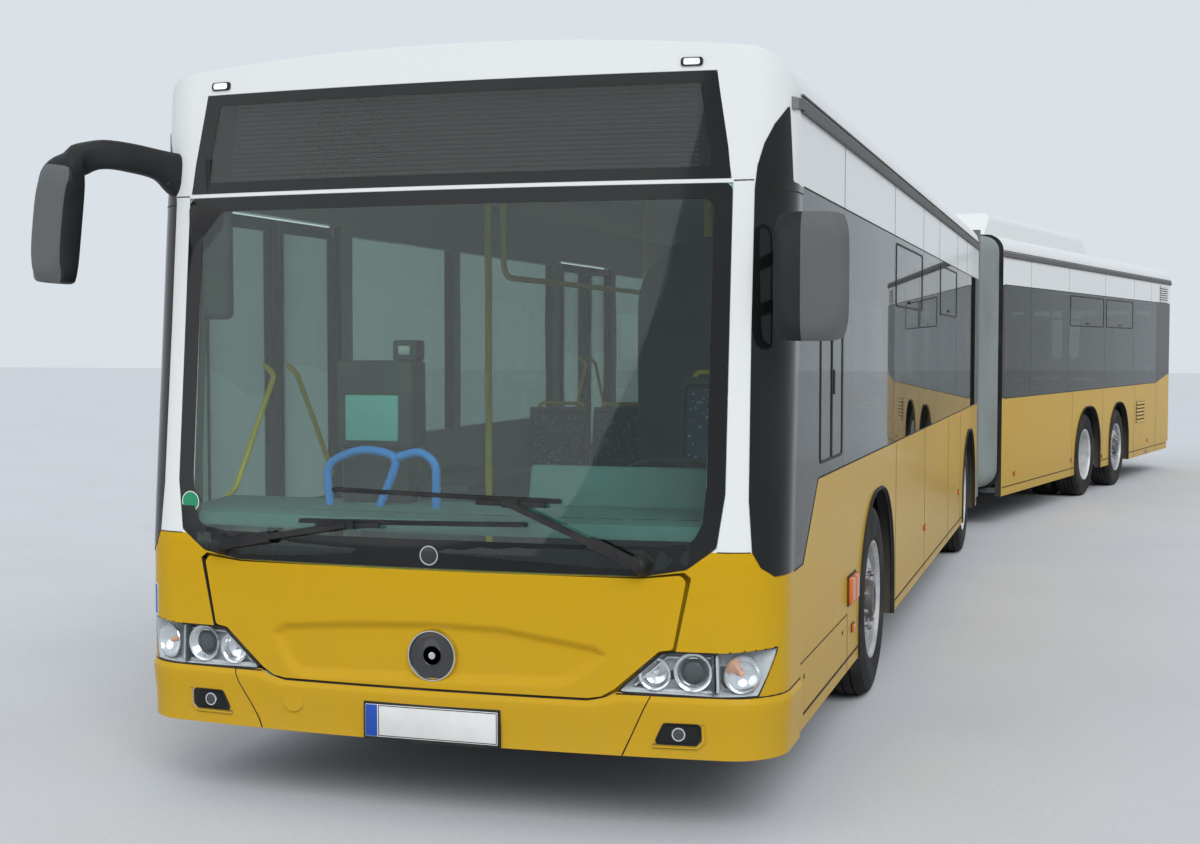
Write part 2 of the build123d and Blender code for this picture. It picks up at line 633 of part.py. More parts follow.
# Centre hoop: a frame round the gangway that stands on the round floor plate
HOOP_OUTER = BELLOWS_HALF_WIDTH + 15.0
HOOP_TOP = BELLOWS_TOP + 15.0
HOOP_FRAME = 75.0
with BuildPart() as centre_hoop:
    with Locations((0, PIVOT_Y, FLOOR_Z - DISC / 2)):
        Cylinder(DISC_RADIUS, DISC)
    add(box((-HOOP_OUTER, PIVOT_Y - HOOP_HALF, FLOOR_Z - DISC), (HOOP_OUTER, PIVOT_Y + HOOP_HALF, HOOP_TOP)))
    add(box((-HOOP_OUTER + HOOP_FRAME, PIVOT_Y - 2 * HOOP_HALF, FLOOR_Z),
            (HOOP_OUTER - HOOP_FRAME, PIVOT_Y + 2 * HOOP_HALF, HOOP_TOP - HOOP_FRAME)), mode=Mode.SUBTRACT)
write(centre_hoop.part, "centre_hoop", hoop_place)


def bellows_face(inset):
    """Upright outline of the bellows, open at the floor, drawn in by inset."""
    half = BELLOWS_HALF_WIDTH - inset
    height = BELLOWS_TOP - inset - BELLOWS_BOTTOM
    with BuildSketch() as outline:
        with Locations((0, height / 2)):
            Rectangle(2 * half, height)
    return outline.sketch


def bellows(near_place, near_y, far_place, far_y):
    """Bellows between two upright frames, each given by its section's place and its y."""
    faces = [bellows_face(inset) for inset in (0, BELLOWS)]
    near = Plane(near_place * Location((0, near_y, BELLOWS_BOTTOM), (90, 0, 0)))
    far = Plane(far_place * Location((0, far_y, BELLOWS_BOTTOM), (90, 0, 0)))
    with BuildPart() as sleeve:
        for face, mode in zip(faces, (Mode.ADD, Mode.SUBTRACT)):
            with BuildSketch(near):
                add(face)
            with BuildSketch(far):
                add(face)
            loft(ruled=True, mode=mode)
    return sleeve.part


no_move = Location((0, 0, 0))
front_bellows = bellows(front_place, FRONT_END_Y, hoop_place, PIVOT_Y - HOOP_HALF - SEAT_GAP)
write(front_bellows, "bellows_front", no_move)
rear_bellows = bellows(hoop_place, PIVOT_Y + HOOP_HALF + SEAT_GAP, rear_place, REAR_START_Y)
write(rear_bellows, "bellows_rear", no_move)


def wheel_plane(x, axle_y):
    """Upright plane through a wheel's axis, its origin on the wheel's centre."""
    return Plane(origin=(x, axle_y, AXLE_Z), x_dir=(1, 0, 0), z_dir=(0, -1, 0))


def turned(profiles, side, x, axle_y):
    """Solid turned about a wheel's axis from outlines of x, measured outwards, and radius."""
    with BuildPart() as wheel:
        with BuildSketch(wheel_plane(side * x, axle_y)):
            for profile in profiles:
                with BuildLine():
                    Polyline(*[(side * u, r) for u, r in profile], close=True)
                make_face()
        revolve(axis=Axis((side * x, axle_y, AXLE_Z), (1, 0, 0)))
    return wheel.part


TYRE_HALF = TYRE_WIDTH / 2
SIDEWALL = TYRE_RADIUS - BEAD_RADIUS
RIM_RADIUS = BEAD_RADIUS - SEAT_GAP
RIM = 14.0
HUB_BORE = SPINDLE_RADIUS + RUNNING_GAP
BARREL = TYRE_HALF - 17.5
# Half of the tyre's section: distance in from its side, and share of the way from bead to tread
tyre_rows = ((17.5, 0.0), (4.0, 0.23), (0.0, 0.515), (8.0, 0.8), (30.0, 0.953), (62.0, 1.0))
tyre_half = [(TYRE_HALF - inset, BEAD_RADIUS + share * SIDEWALL) for inset, share in tyre_rows]
tyre_outline = [(-x, r) for x, r in tyre_half] + tyre_half[::-1]
WELL_RADIUS = RIM_RADIUS - RIM
DISH_RADIUS = RIM_RADIUS - 78.0
FLANGE_RADIUS = 130.0
single_rim = ((-BARREL, RIM_RADIUS), (-BARREL, WELL_RADIUS), (25, RIM_RADIUS - 24), (83, DISH_RADIUS - 8),
              (83, 115), (-40, 105), (-40, HUB_BORE), (112, HUB_BORE), (112, 0), (138, 0), (138, 88),
              (103, 112), (103, DISH_RADIUS), (40, WELL_RADIUS), (BARREL, WELL_RADIUS), (BARREL, RIM_RADIUS))
MATE = TWIN_SPACING / 2
outer_twin_rim = ((BARREL, RIM_RADIUS), (BARREL, WELL_RADIUS), (-60, WELL_RADIUS), (-MATE + 8, DISH_RADIUS - 8),
                  (-MATE + 8, FLANGE_RADIUS), (20, 120), (45, 90), (45, 0), (20, 0), (20, HUB_BORE),
                  (-MATE - 100, HUB_BORE), (-MATE - 100, FLANGE_RADIUS), (-MATE - 8, FLANGE_RADIUS),
                  (-MATE - 8, DISH_RADIUS - 8), (-MATE, DISH_RADIUS - 3), (-90, WELL_RADIUS),
                  (-BARREL, WELL_RADIUS), (-BARREL, RIM_RADIUS))
inner_twin_rim = ((-TWIN_SPACING - BARREL, RIM_RADIUS), (-TWIN_SPACING - BARREL, WELL_RADIUS),
                  (-TWIN_SPACING + 60, WELL_RADIUS), (-MATE - 8, DISH_RADIUS - 13), (-MATE - 8, FLANGE_RADIUS),
                  (-MATE, FLANGE_RADIUS), (-MATE, DISH_RADIUS - 2), (-TWIN_SPACING + 90, WELL_RADIUS),
                  (-TWIN_SPACING + BARREL, WELL_RADIUS), (-TWIN_SPACING + BARREL, RIM_RADIUS))

sides = (("left", 1), ("right", -1))
single_axles = (("front", FRONT_AXLE_Y, front_place), ("trailing", TRAILING_AXLE_Y, rear_place))
twin_axles = (("middle", MIDDLE_AXLE_Y, front_place), ("drive", DRIVE_AXLE_Y, rear_place))

# Steered single wheels with their knuckles
for axle, axle_y, place in single_axles:
    for name, side in sides:
        write(turned((tyre_outline,), side, SINGLE_WHEEL_X, axle_y), f"{axle}_{name}_tyre", place)
        write(turned((single_rim,), side, SINGLE_WHEEL_X, axle_y), f"{axle}_{name}_rim", place)
        with BuildPart() as knuckle:
            with Locations((side * KINGPIN_X, axle_y, AXLE_Z)):
                Cylinder(KINGPIN_RADIUS, 2 * KINGPIN_HALF)
                Box(2 * KNUCKLE_HALF, 2 * KNUCKLE_HALF, 2 * KNUCKLE_HALF)
            with BuildSketch(Plane.YZ.offset(side * KINGPIN_X)):
                with Locations((axle_y, AXLE_Z)):
                    Circle(SPINDLE_RADIUS)
            extrude(amount=side * (SINGLE_WHEEL_X + 110 - KINGPIN_X))
        write(knuckle.part, f"{axle}_{name}_knuckle", place)

# Twin wheels
for axle, axle_y, place in twin_axles:
    for name, side in sides:
        tyres = [turned((tyre_outline,), side, x, axle_y) for x in (TWIN_WHEEL_X, TWIN_WHEEL_X - TWIN_SPACING)]
        write(Compound(children=tyres), f"{axle}_{name}_tyres", place)
        rims = turned((outer_twin_rim, inner_twin_rim), side, TWIN_WHEEL_X, axle_y)
        write(rims, f"{axle}_{name}_rims", place)

FORK_GAP = 0.3
EYE = 32.0
WEB = 50.0
DROP_X = KINGPIN_X - 130.0
CASING_HALF = 90.0
CASING = 54.7
DIFFERENTIAL_RADIUS = 190.0


def steered_axle(axle_y):
    """Dropped beam with a fork round each kingpin and two spring pads under the floor."""
    fork = KINGPIN_HALF + FORK_GAP
    with BuildPart() as beam:
        add(box((-DROP_X, axle_y - BEAM_HALF, BEAM_BOTTOM), (DROP_X, axle_y + BEAM_HALF, BEAM_TOP)))
        for side in (1, -1):
            low_x, high_x = sorted((side * (DROP_X - WEB), side * DROP_X))
            add(box((low_x, axle_y - BEAM_HALF, BEAM_BOTTOM), (high_x, axle_y + BEAM_HALF, AXLE_Z + fork + EYE)))
            low_x, high_x = sorted((side * (DROP_X - WEB), side * (KINGPIN_X + 40)))
            for low_z in (AXLE_Z + fork, AXLE_Z - fork - EYE):
                add(box((low_x, axle_y - BEAM_HALF, low_z), (high_x, axle_y + BEAM_HALF, low_z + EYE)))
            with Locations((side * PAD_X, axle_y, (BEAM_TOP + UNDER_FLOOR) / 2)):
                Cylinder(PAD_RADIUS, UNDER_FLOOR - BEAM_TOP)
    return beam.part


def portal_axle(axle_y, middle_radius):
    """Low beam with a casing at each end that rises to the wheels' axis, and its spindles."""
    casing_x = TWIN_HOUSE_X + HOUSE_SKIN + SEAT_GAP
    with BuildPart() as beam:
        add(box((-casing_x - 1, axle_y - BEAM_HALF, BEAM_BOTTOM), (casing_x + 1, axle_y + BEAM_HALF, BEAM_TOP)))
        with Locations((0, axle_y, (BEAM_BOTTOM + BEAM_TOP) / 2)):
            Cylinder(middle_radius, BEAM_TOP - BEAM_BOTTOM - 10)
        for side in (1, -1):
            low_x, high_x = sorted((side * casing_x, side * (casing_x + CASING)))
            add(box((low_x, axle_y - CASING_HALF, BEAM_BOTTOM),
                    (high_x, axle_y + CASING_HALF, AXLE_Z + CASING_HALF)))
            with BuildSketch(Plane.YZ.offset(side * (casing_x + CASING / 2))):
                with Locations((axle_y, AXLE_Z)):
                    Circle(SPINDLE_RADIUS)
            extrude(amount=side * (TWIN_WHEEL_X + 18 - casing_x - CASING / 2))
            with Locations((side * PAD_X, axle_y, (BEAM_TOP + UNDER_FLOOR) / 2)):
                Cylinder(PAD_RADIUS, UNDER_FLOOR - BEAM_TOP)
    return beam.part


front_axles = Compound(children=[steered_axle(FRONT_AXLE_Y), portal_axle(MIDDLE_AXLE_Y, CASING_HALF)])
write(front_axles, "front_axles", front_place)
rear_axles = Compound(children=[steered_axle(TRAILING_AXLE_Y), portal_axle(DRIVE_AXLE_Y, DIFFERENTIAL_RADIUS)])
write(rear_axles, "rear_axles", rear_place)

# Door leaves: a frame with its pane, hung near the outer edge; rows are name, door's y and place
LEAF_WIDTH = (DOOR_WIDTH - 2 * LEAF_SIDE_GAP - LEAF_MID_GAP) / 2
doors = (("front", FRONT_DOOR_Y, front_place), ("middle", MIDDLE_DOOR_Y, front_place),
         ("rear", REAR_DOOR_Y, rear_place))
LEAF_TOP = DOOR_TOP - LEAF_TOP_GAP
PIN_TOP = DOOR_TOP - SEAT_GAP
PIN_FOOT = LEAF_TOP - 40.0
for door, door_y, place in doors:
    last_start_y = door_y + DOOR_WIDTH - LEAF_SIDE_GAP - LEAF_WIDTH
    for leaf, start_y, pin_inset in (("front", door_y + LEAF_SIDE_GAP, PIVOT_INSET),
                                     ("rear", last_start_y, LEAF_WIDTH - PIVOT_INSET)):
        end_y = start_y + LEAF_WIDTH
        with BuildPart() as frame:
            with Locations((-HALF + LEAF, start_y + pin_inset, (PIN_FOOT + PIN_TOP) / 2)):
                Cylinder(PIN_RADIUS, PIN_TOP - PIN_FOOT)
            add(box((-HALF, start_y, LEAF_BOTTOM), (-HALF + LEAF, end_y, LEAF_TOP)))
            add(box((-HALF - 10, start_y + LEAF_FRAME, LEAF_BOTTOM + LEAF_PANEL),
                    (-HALF + LEAF + 10, end_y - LEAF_FRAME, LEAF_TOP - LEAF_FRAME)), mode=Mode.SUBTRACT)
        pane = box((-HALF + PANE_SEAT, start_y + LEAF_FRAME, LEAF_BOTTOM + LEAF_PANEL),
                   (-HALF + PANE_SEAT + GLASS, end_y - LEAF_FRAME, LEAF_TOP - LEAF_FRAME))
        write(Compound(children=[frame.part, pane]), f"{door}_door_{leaf}_leaf", place)

# Tail: a shell with round corners, the hatch opening and the rear window
HATCH_GAP = 8.0
HATCH_TOP = 1240.0
HATCH_BOTTOM = 640.0
hatch = across(HATCH_BOTTOM, ((395, HATCH_BOTTOM), (395, HATCH_TOP)), HATCH_TOP)
rear_window = across(1480, ((225, 1480), (225, 2300)), 2300)
rear_hole = across(1525, ((275, 1525), (275, 2255)), 2255)


def tail_column(inset):
    """The tail's plan drawn in by inset and pulled straight up."""
    level = bowed_outline(TAIL_CORNER, TAIL_BOW, inset, TAIL_DEPTH)
    with BuildPart() as column:
        with BuildSketch(Plane(origin=(0, LENGTH, TAIL_BOTTOM), x_dir=(1, 0, 0), z_dir=(0, 0, 1))):
            add(level)
        extrude(amount=ROOF_Z + 40 - TAIL_BOTTOM)
    return column.part


def tail_block(inset):
    """The tail as a solid under the roof's outline, drawn in by inset."""
    across = bowed_outline(SHOULDER_RADIUS, ROOF_BOW, inset, ROOF_Z)
    with BuildPart() as block:
        add(tail_column(inset))
        with BuildSketch(section_plane(TAIL_START_Y - 10)):
            add(across)
        extrude(amount=-(TAIL_DEPTH + 100), mode=Mode.INTERSECT)
    return block.part


def rear_prism(outline, grow=0.0):
    """Straight prism through the tail from an outline of x and z, grown by a margin."""
    with BuildPart() as prism:
        with BuildSketch(Plane.XZ.offset(-(LENGTH + 60))):
            with BuildLine():
                Polyline(*outline, close=True)
            make_face()
            if grow:
                offset(amount=grow, kind=Kind.INTERSECTION)
        extrude(amount=TAIL_DEPTH + 40)
    return prism.part


tail = tail_block(0)
tail_hollow = tail_block(WALL)
tail_recess = tail_column(GLASS + SEAT_GAP)
with BuildPart() as tail_mask:
    add(tail)
    add(tail_hollow, mode=Mode.SUBTRACT)
    add(box((-HALF, TAIL_START_Y - 50, 0), (HALF, TAIL_START_Y, ROOF_Z)), mode=Mode.SUBTRACT)
    add(skin(tail_column(0), tail_recess, rear_prism(rear_window)), mode=Mode.SUBTRACT)
    add(rear_prism(rear_hole), mode=Mode.SUBTRACT)
    add(rear_prism(hatch, HATCH_GAP), mode=Mode.SUBTRACT)
write(tail_mask.part, "tail_mask", rear_place)
rear_pane = skin(tail_column(0), tail_column(GLASS), rear_prism(rear_window))
write(Compound(children=rear_sheets + [rear_pane]), "rear_glazing", rear_place)

# Engine cover with two hinge barrels over its top edge
BARREL_RADIUS = 9.0
BARREL_X = 560.0
BARREL_LENGTH = 40.0
STRAP_HEIGHT = 60.0
STRAP = 14.0
with BuildPart() as engine_cover:
    add(skin(tail_column(0), tail_column(TAIL_SKIN), rear_prism(hatch)))
    for side in (1, -1):
        start_x = side * BARREL_X - BARREL_LENGTH / 2
        with BuildSketch(Plane.YZ.offset(start_x)):
            with Locations((LENGTH, HATCH_TOP + HATCH_GAP / 2)):
                Circle(BARREL_RADIUS)
        extrude(amount=BARREL_LENGTH)
        add(box((start_x, LENGTH - STRAP, HATCH_TOP - STRAP_HEIGHT),
                (start_x + BARREL_LENGTH, LENGTH + 1, HATCH_TOP)))
write(engine_cover.part, "engine_cover", rear_place)

# Engine block on the rails of the bay
ENGINE_LOW = (-520.0, ENGINE_BAY_Y + 650.0, UNDER_FLOOR + RAIL_DEPTH)
ENGINE_HIGH = (620.0, TAIL_START_Y - 250.0, DECK_Z - DECK - 60.0)
write(box(ENGINE_LOW, ENGINE_HIGH), "engine", rear_place)

# Tail lamps: three round lamps in a column each side, set on the tail's face
LAMP_RADIUS = 60.0
LAMP_X = HALF - 155.0
lamp_solids = []
for side in (1, -1):
    for lamp_z in (760.0, 905.0, 1050.0):
        with BuildPart() as tail_lamp:
            with BuildSketch(Plane.XZ.offset(-(LENGTH + 25))):
                with Locations((side * LAMP_X, lamp_z)):
                    Circle(LAMP_RADIUS)
            extrude(amount=160)
            add(tail_column(-SEAT_GAP), mode=Mode.SUBTRACT)
        lamp_solids.append(tail_lamp.solids().sort_by(Axis.Y)[-1])
write(Compound(children=lamp_solids), "tail_lamps", rear_place)

# Seats: rows are side, y of the backrest's rear face, and z of what it stands on
front_seat_rows = ((1, 4150, FLOOR_Z), (1, 4950, FLOOR_Z), (1, 5750, FLOOR_Z), (1, 6550, FLOOR_Z),
                   (-1, 4350, FLOOR_Z), (-1, 7300, FLOOR_Z))
deck_rows = [(side, ENGINE_BAY_Y + reach, DECK_Z) for reach in (1000, 2100) for side in (1, -1)]
rear_seat_rows = [(1, 12050, FLOOR_Z), (1, 12850, FLOOR_Z), (1, 13650, FLOOR_Z), (-1, 13600, FLOOR_Z), *deck_rows]
SEAT_PAIR = 860.0
SEAT_PAIR_X = HALF - WALL - SEAT_PAIR / 2 - 25.0
DRIVER_SEAT = 480.0
DRIVER_SEAT_Y = 1650.0
SEAT_DEPTH = 430.0
SEAT_HEIGHT = 430.0
SEAT_BACK = 1000.0
CUSHION = 80.0
PEDESTAL = 260.0


def seat(x, y, base, width):
    """Seat on a pedestal, drawn from the side and pulled to its width."""
    top = base + SEAT_HEIGHT
    with BuildPart() as bench:
        with BuildSketch(Plane.YZ.offset(x - width / 2)):
            with BuildLine():
                Polyline((y - SEAT_DEPTH, top), (y - SEAT_DEPTH, top - CUSHION), (y - 20, top - CUSHION),
                         (y + 60, base + SEAT_BACK), (y, base + SEAT_BACK), (y - CUSHION, top), close=True)
            make_face()
        extrude(amount=width)
        with BuildSketch(Plane.XY.offset(base)):
            with Locations((x, y - SEAT_DEPTH / 2)):
                Rectangle(PEDESTAL, PEDESTAL)
        extrude(amount=SEAT_HEIGHT - CUSHION + 1)
    return bench.part


front_benches = [seat(side * SEAT_PAIR_X, y, base, SEAT_PAIR) for side, y, base in front_seat_rows]
front_benches.append(seat(DRIVER_X, DRIVER_SEAT_Y, CAB_FLOOR_Z, DRIVER_SEAT))
write(Compound(children=front_benches), "front_seats", front_place)
rear_benches = [seat(side * SEAT_PAIR_X, y, base, SEAT_PAIR) for side, y, base in rear_seat_rows]
write(Compound(children=rear_benches), "rear_seats", rear_place)

# Driver's desk with the steering column, and the screen behind the driver
DESK_Z = 1010.0
DESK_GAP = 60.0
DESK_FOOT_Z = 640.0
DESK_FRONT_Y = 210.0
DESK_REAR_Y = 640.0
WHEEL_PLACE = (DRIVER_X, 930.0, 1190.0)
COLUMN_TILT = 28.0
COLUMN_RADIUS = 30.0
COLUMN_DROP = 60.0
RING_RADIUS = 235.0
RING_SECTION = 15.0
HUB_RADIUS = 55.0
tilt = radians(COLUMN_TILT)
column_axis = (0, sin(tilt), cos(tilt))
wheel_plane_at = Plane(origin=WHEEL_PLACE, x_dir=(1, 0, 0), z_dir=column_axis)
with BuildPart() as desk:
    with BuildSketch(Plane.YZ.offset(CAB_INNER_X)):
        with BuildLine():
            Polyline((DESK_FRONT_Y, DESK_FOOT_Z), (DESK_REAR_Y - 120, DESK_FOOT_Z), (DESK_REAR_Y, 860),
                     (DESK_REAR_Y, DESK_Z),
                     (DESK_FRONT_Y, DESK_Z - 40), close=True)
        make_face()
    extrude(amount=HALF - WALL - DESK_GAP - CAB_INNER_X)
with BuildPart() as column:
    with BuildSketch(wheel_plane_at.offset(-COLUMN_DROP)):
        Circle(COLUMN_RADIUS)
    extrude(amount=-WHEEL_PLACE[2])
    add(box((-HALF, -HALF, -HALF), (HALF, LENGTH, CAB_FLOOR_Z)), mode=Mode.SUBTRACT)
with BuildPart() as desk_foot:
    add(box((CAB_INNER_X, DESK_FRONT_Y, CAB_FLOOR_Z),
            (CAB_INNER_X + DESK_GAP, DESK_REAR_Y - 150, DESK_FOOT_Z + 60)))
    add(desk.part)
write(Compound(children=[desk_foot.part, column.part]), "dashboard", front_place)

with BuildPart() as steering_wheel:
    with BuildSketch(Plane(origin=(DRIVER_X + RING_RADIUS, WHEEL_PLACE[1], WHEEL_PLACE[2]), x_dir=(1, 0, 0),
                           z_dir=(0, -cos(tilt), sin(tilt)))):
        Circle(RING_SECTION)
    revolve(axis=Axis(WHEEL_PLACE, column_axis))
    with BuildSketch(wheel_plane_at.offset(-COLUMN_DROP + RUNNING_GAP)):
        Circle(HUB_RADIUS)
    extrude(amount=70)
    with BuildSketch(wheel_plane_at.offset(-8)):
        Rectangle(2 * RING_RADIUS, 36)
    extrude(amount=14)
write(steering_wheel.part, "steering_wheel", front_place)

SCREEN = 40.0
SCREEN_TOP = 2250.0
with BuildPart() as cab_partition:
    add(box((CAB_INNER_X, CAB_REAR_Y, FLOOR_Z), (HALF - WALL, CAB_REAR_Y + SCREEN, SCREEN_TOP)))
    fillet(cab_partition.edges().filter_by(Axis.Y).sort_by(Axis.Z)[-2:].sort_by(Axis.X)[0], radius=320)
write(cab_partition.part, "cab_partition", front_place)


def mirror_arm(points, radius, rod):
    """Round rod along straight runs joined by tangent arcs."""
    with BuildPart() as arm:
        with BuildLine():
            path = FilletPolyline(*points, radius=radius)
        with BuildSketch(Plane(origin=path @ 0, z_dir=path % 0)):
            Circle(rod)
        sweep()
    return arm.part


# Mirrors: the left head on a short arm from the corner post, the right one on a long arm from the roof's
# front corner
ARM_FOOT_X = HALF - 125.0
LEFT_ARM_Z = 1990.0
ARM_ROD = 18.0
HEAD_CORNER = 40.0
left_arm = mirror_arm(((ARM_FOOT_X, 400, LEFT_ARM_Z), (HALF + 30, 270, LEFT_ARM_Z),
                       (HALF + 95, 110, LEFT_ARM_Z)), 40, ARM_ROD)
right_arm = mirror_arm(((-ARM_FOOT_X, 330, 2620), (-HALF + 45, 60, 2640), (-HALF - 125, -100, 2560),
                        (-HALF - 145, -110, 2400)), 50, ARM_ROD)
with BuildPart() as left_head:
    add(box((HALF - 13, 50, 1770), (HALF + 237, 150, 2210)))
    fillet(left_head.edges().filter_by(Axis.Y), radius=HEAD_CORNER)
with BuildPart() as right_head:
    add(box((-MIRROR_REACH, -MIRROR_FORWARD, 1990), (-HALF - 35, -MIRROR_FORWARD + 110, 2420)))
    fillet(right_head.edges().filter_by(Axis.Y), radius=HEAD_CORNER)
with BuildPart() as left_mirror:
    add(left_arm)
    add(left_head.part)
    add(nose_room, mode=Mode.SUBTRACT)
with BuildPart() as right_mirror:
    add(right_arm)
    add(right_head.part)
    add(nose_room, mode=Mode.SUBTRACT)
mirror_solids = [left_mirror.solids().sort_by(Axis.X)[-1], right_mirror.solids().sort_by(Axis.X)[0]]
write(Compound(children=mirror_solids), "mirrors", front_place)

# Wipers, parked across the foot of the windscreen: pivot and blade ends in x and z
wiper_rows = (((790, 970), (300, 1215), (-390, 1200), (510, 1205)),
              ((-905, 985), (-400, 1080), (-560, 1090), (340, 1065)))
WIPER = 22.0
wiper_solids = []
for pivot, elbow, blade_start, blade_end in wiper_rows:
    with BuildPart() as wiper:
        with BuildSketch(Plane.XZ.offset(60)):
            with BuildLine():
                Line(pivot, elbow)
                Line(blade_start, blade_end)
            trace(line_width=WIPER)
        extrude(amount=-150)
        add(nose_block(-30, NOSE_BOTTOM - 10), mode=Mode.INTERSECT)
        add(nose_room, mode=Mode.SUBTRACT)
    wiper_solids += wiper.solids()
write(Compound(children=wiper_solids), "wipers", front_place)
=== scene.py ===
import json
import math

import bmesh
import bpy
from mathutils import Matrix, Vector


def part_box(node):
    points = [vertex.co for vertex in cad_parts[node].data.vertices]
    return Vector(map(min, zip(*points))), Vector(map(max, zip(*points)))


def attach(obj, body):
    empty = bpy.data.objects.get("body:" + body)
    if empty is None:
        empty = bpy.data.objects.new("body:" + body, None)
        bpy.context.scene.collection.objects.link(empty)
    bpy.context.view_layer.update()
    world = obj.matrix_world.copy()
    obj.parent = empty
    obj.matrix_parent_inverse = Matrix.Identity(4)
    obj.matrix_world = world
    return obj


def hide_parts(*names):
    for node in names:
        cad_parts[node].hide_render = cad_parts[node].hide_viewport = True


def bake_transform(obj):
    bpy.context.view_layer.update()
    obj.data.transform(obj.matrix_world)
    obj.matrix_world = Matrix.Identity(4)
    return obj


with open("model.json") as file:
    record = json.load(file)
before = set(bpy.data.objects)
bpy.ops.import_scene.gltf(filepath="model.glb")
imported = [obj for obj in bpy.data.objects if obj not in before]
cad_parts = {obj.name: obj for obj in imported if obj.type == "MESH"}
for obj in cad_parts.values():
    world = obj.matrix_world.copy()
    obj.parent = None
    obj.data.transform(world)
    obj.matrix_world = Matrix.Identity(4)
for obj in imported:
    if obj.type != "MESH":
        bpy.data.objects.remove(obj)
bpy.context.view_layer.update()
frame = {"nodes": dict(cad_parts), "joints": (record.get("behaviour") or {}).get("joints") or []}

# Where the two sections stand. Each is described straight, in metres: nose at y = 0, middle plane at
# x = 0 with the driver's side at +x, ground at z = 0. The rear section is turned about the pivot.
half_width = 1.275
pivot_y = 10.035
joints = {joint["name"]: joint for joint in frame["joints"]}
middle_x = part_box("front_left_wall")[1].x - half_width
nose_tip_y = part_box("front_mask")[0].y
wheel_axis = joints["drive_left_roll"]["axis"]
bend = math.atan2(-wheel_axis[1], wheel_axis[0])
front_place = Matrix.Translation((middle_x, nose_tip_y, 0))


def turned_place(angle):
    """Place of what is turned to the left about the pivot by an angle."""
    pivot = Matrix.Translation((0, pivot_y, 0))
    return front_place @ pivot @ Matrix.Rotation(-angle, 4, "Z") @ pivot.inverted()


rear_place = turned_place(bend)
places = {"front_section": front_place, "front_flap": front_place, "rear_section": rear_place,
          "engine_cover": rear_place}

# Viewpoint: the camera stands at a person's eye height, close before the left front corner, and looks back
# along the left side. Colours are shown as they are written.
eye = Vector((2.317, -5.398, 1.753))
look_yaw = math.radians(17.17)
look_pitch = math.radians(-2.745)


def aimed(spot, direction):
    """Place of a camera or lamp that stands at a spot by the front section and looks in a direction."""
    return Matrix.Translation(front_place @ spot) @ direction.to_track_quat("-Z", "Y").to_matrix().to_4x4()


camera_data = bpy.data.cameras.new("viewpoint")
camera_data.sensor_width = 36.0
camera_data.lens = 48.49
camera_data.clip_end = 400.0
camera = bpy.data.objects.new("viewpoint", camera_data)
bpy.context.scene.collection.objects.link(camera)
camera.matrix_world = aimed(eye, Vector((-math.sin(look_yaw) * math.cos(look_pitch),
                                         math.cos(look_yaw) * math.cos(look_pitch), math.sin(look_pitch))))
bpy.context.scene.camera = camera
bpy.context.scene.view_settings.view_transform = "Standard"

# Studio: a pale, slightly uneven floor, a pale room that shows behind the vehicle, soft light from the
# front left above, and a room that gets brighter towards its ceiling.
room_white = (0.70, 0.75, 0.80, 1.0)
horizon_grey = (0.30, 0.32, 0.34, 1.0)
ceiling_white = (0.80, 0.86, 0.93, 1.0)


def fed(tree, node, inputs):
    """Give a node's inputs their values, or link them to the outputs of other nodes."""
    for label, value in inputs.items():
        if isinstance(value, bpy.types.NodeSocket):
            tree.links.new(value, node.inputs[label])
        else:
            node.inputs[label].default_value = value
    return node


def added(tree, kind, inputs, **settings):
    """Add a node with its settings and inputs."""
    node = tree.nodes.new(kind)
    for setting, value in settings.items():
        setattr(node, setting, value)
    return fed(tree, node, inputs)


def worked(tree, operation, *values):
    """Result of one sum on numbers and outputs."""
    return added(tree, "ShaderNodeMath", dict(enumerate(values)), operation=operation).outputs[0]


world = bpy.data.worlds.new("studio room")
bpy.context.scene.world = world
world.use_nodes = True
room = world.node_tree
room_direction = room.nodes.new("ShaderNodeTexCoord")
room_height = added(room, "ShaderNodeSeparateXYZ", {0: room_direction.outputs["Generated"]})
height_ramp = added(room, "ShaderNodeValToRGB",
                    {0: worked(room, "MULTIPLY_ADD", room_height.outputs["Z"], 0.5, 0.5)})
for stop, position, colour in ((0, 0.50, horizon_grey), (1, 0.78, ceiling_white)):
    height_ramp.color_ramp.elements[stop].position = position
    height_ramp.color_ramp.elements[stop].color = colour
lit_room = fed(room, room.nodes["Background"], {"Color": height_ramp.outputs["Color"], "Strength": 0.85})
seen_room = added(room, "ShaderNodeBackground", {"Color": room_white, "Strength": 1.0})
ray = room.nodes.new("ShaderNodeLightPath").outputs
seen_or_shown = worked(room, "MAXIMUM", ray["Is Camera Ray"], ray["Is Glossy Ray"])
seen = worked(room, "MAXIMUM", seen_or_shown, ray["Is Transmission Ray"])
room_mix = added(room, "ShaderNodeMixShader", {0: seen, 1: lit_room.outputs[0], 2: seen_room.outputs[0]})
fed(room, room.nodes["World Output"], {"Surface": room_mix.outputs[0]})

for lamp_name, start, end, energy, spread in (
        ("key light", (9.0, -9.0, 14.0), (0.0, 6.0, 0.5), 1.5, 35.0),
        ("fill light", (-9.0, -12.0, 9.0), (0.0, 4.0, 1.0), 0.45, 50.0)):
    lamp_data = bpy.data.lights.new(lamp_name, "SUN")
    lamp_data.energy = energy
    lamp_data.angle = math.radians(spread)
    lamp = bpy.data.objects.new(lamp_name, lamp_data)
    bpy.context.scene.collection.objects.link(lamp)
    lamp.matrix_world = aimed(Vector(start), Vector(end) - Vector(start))

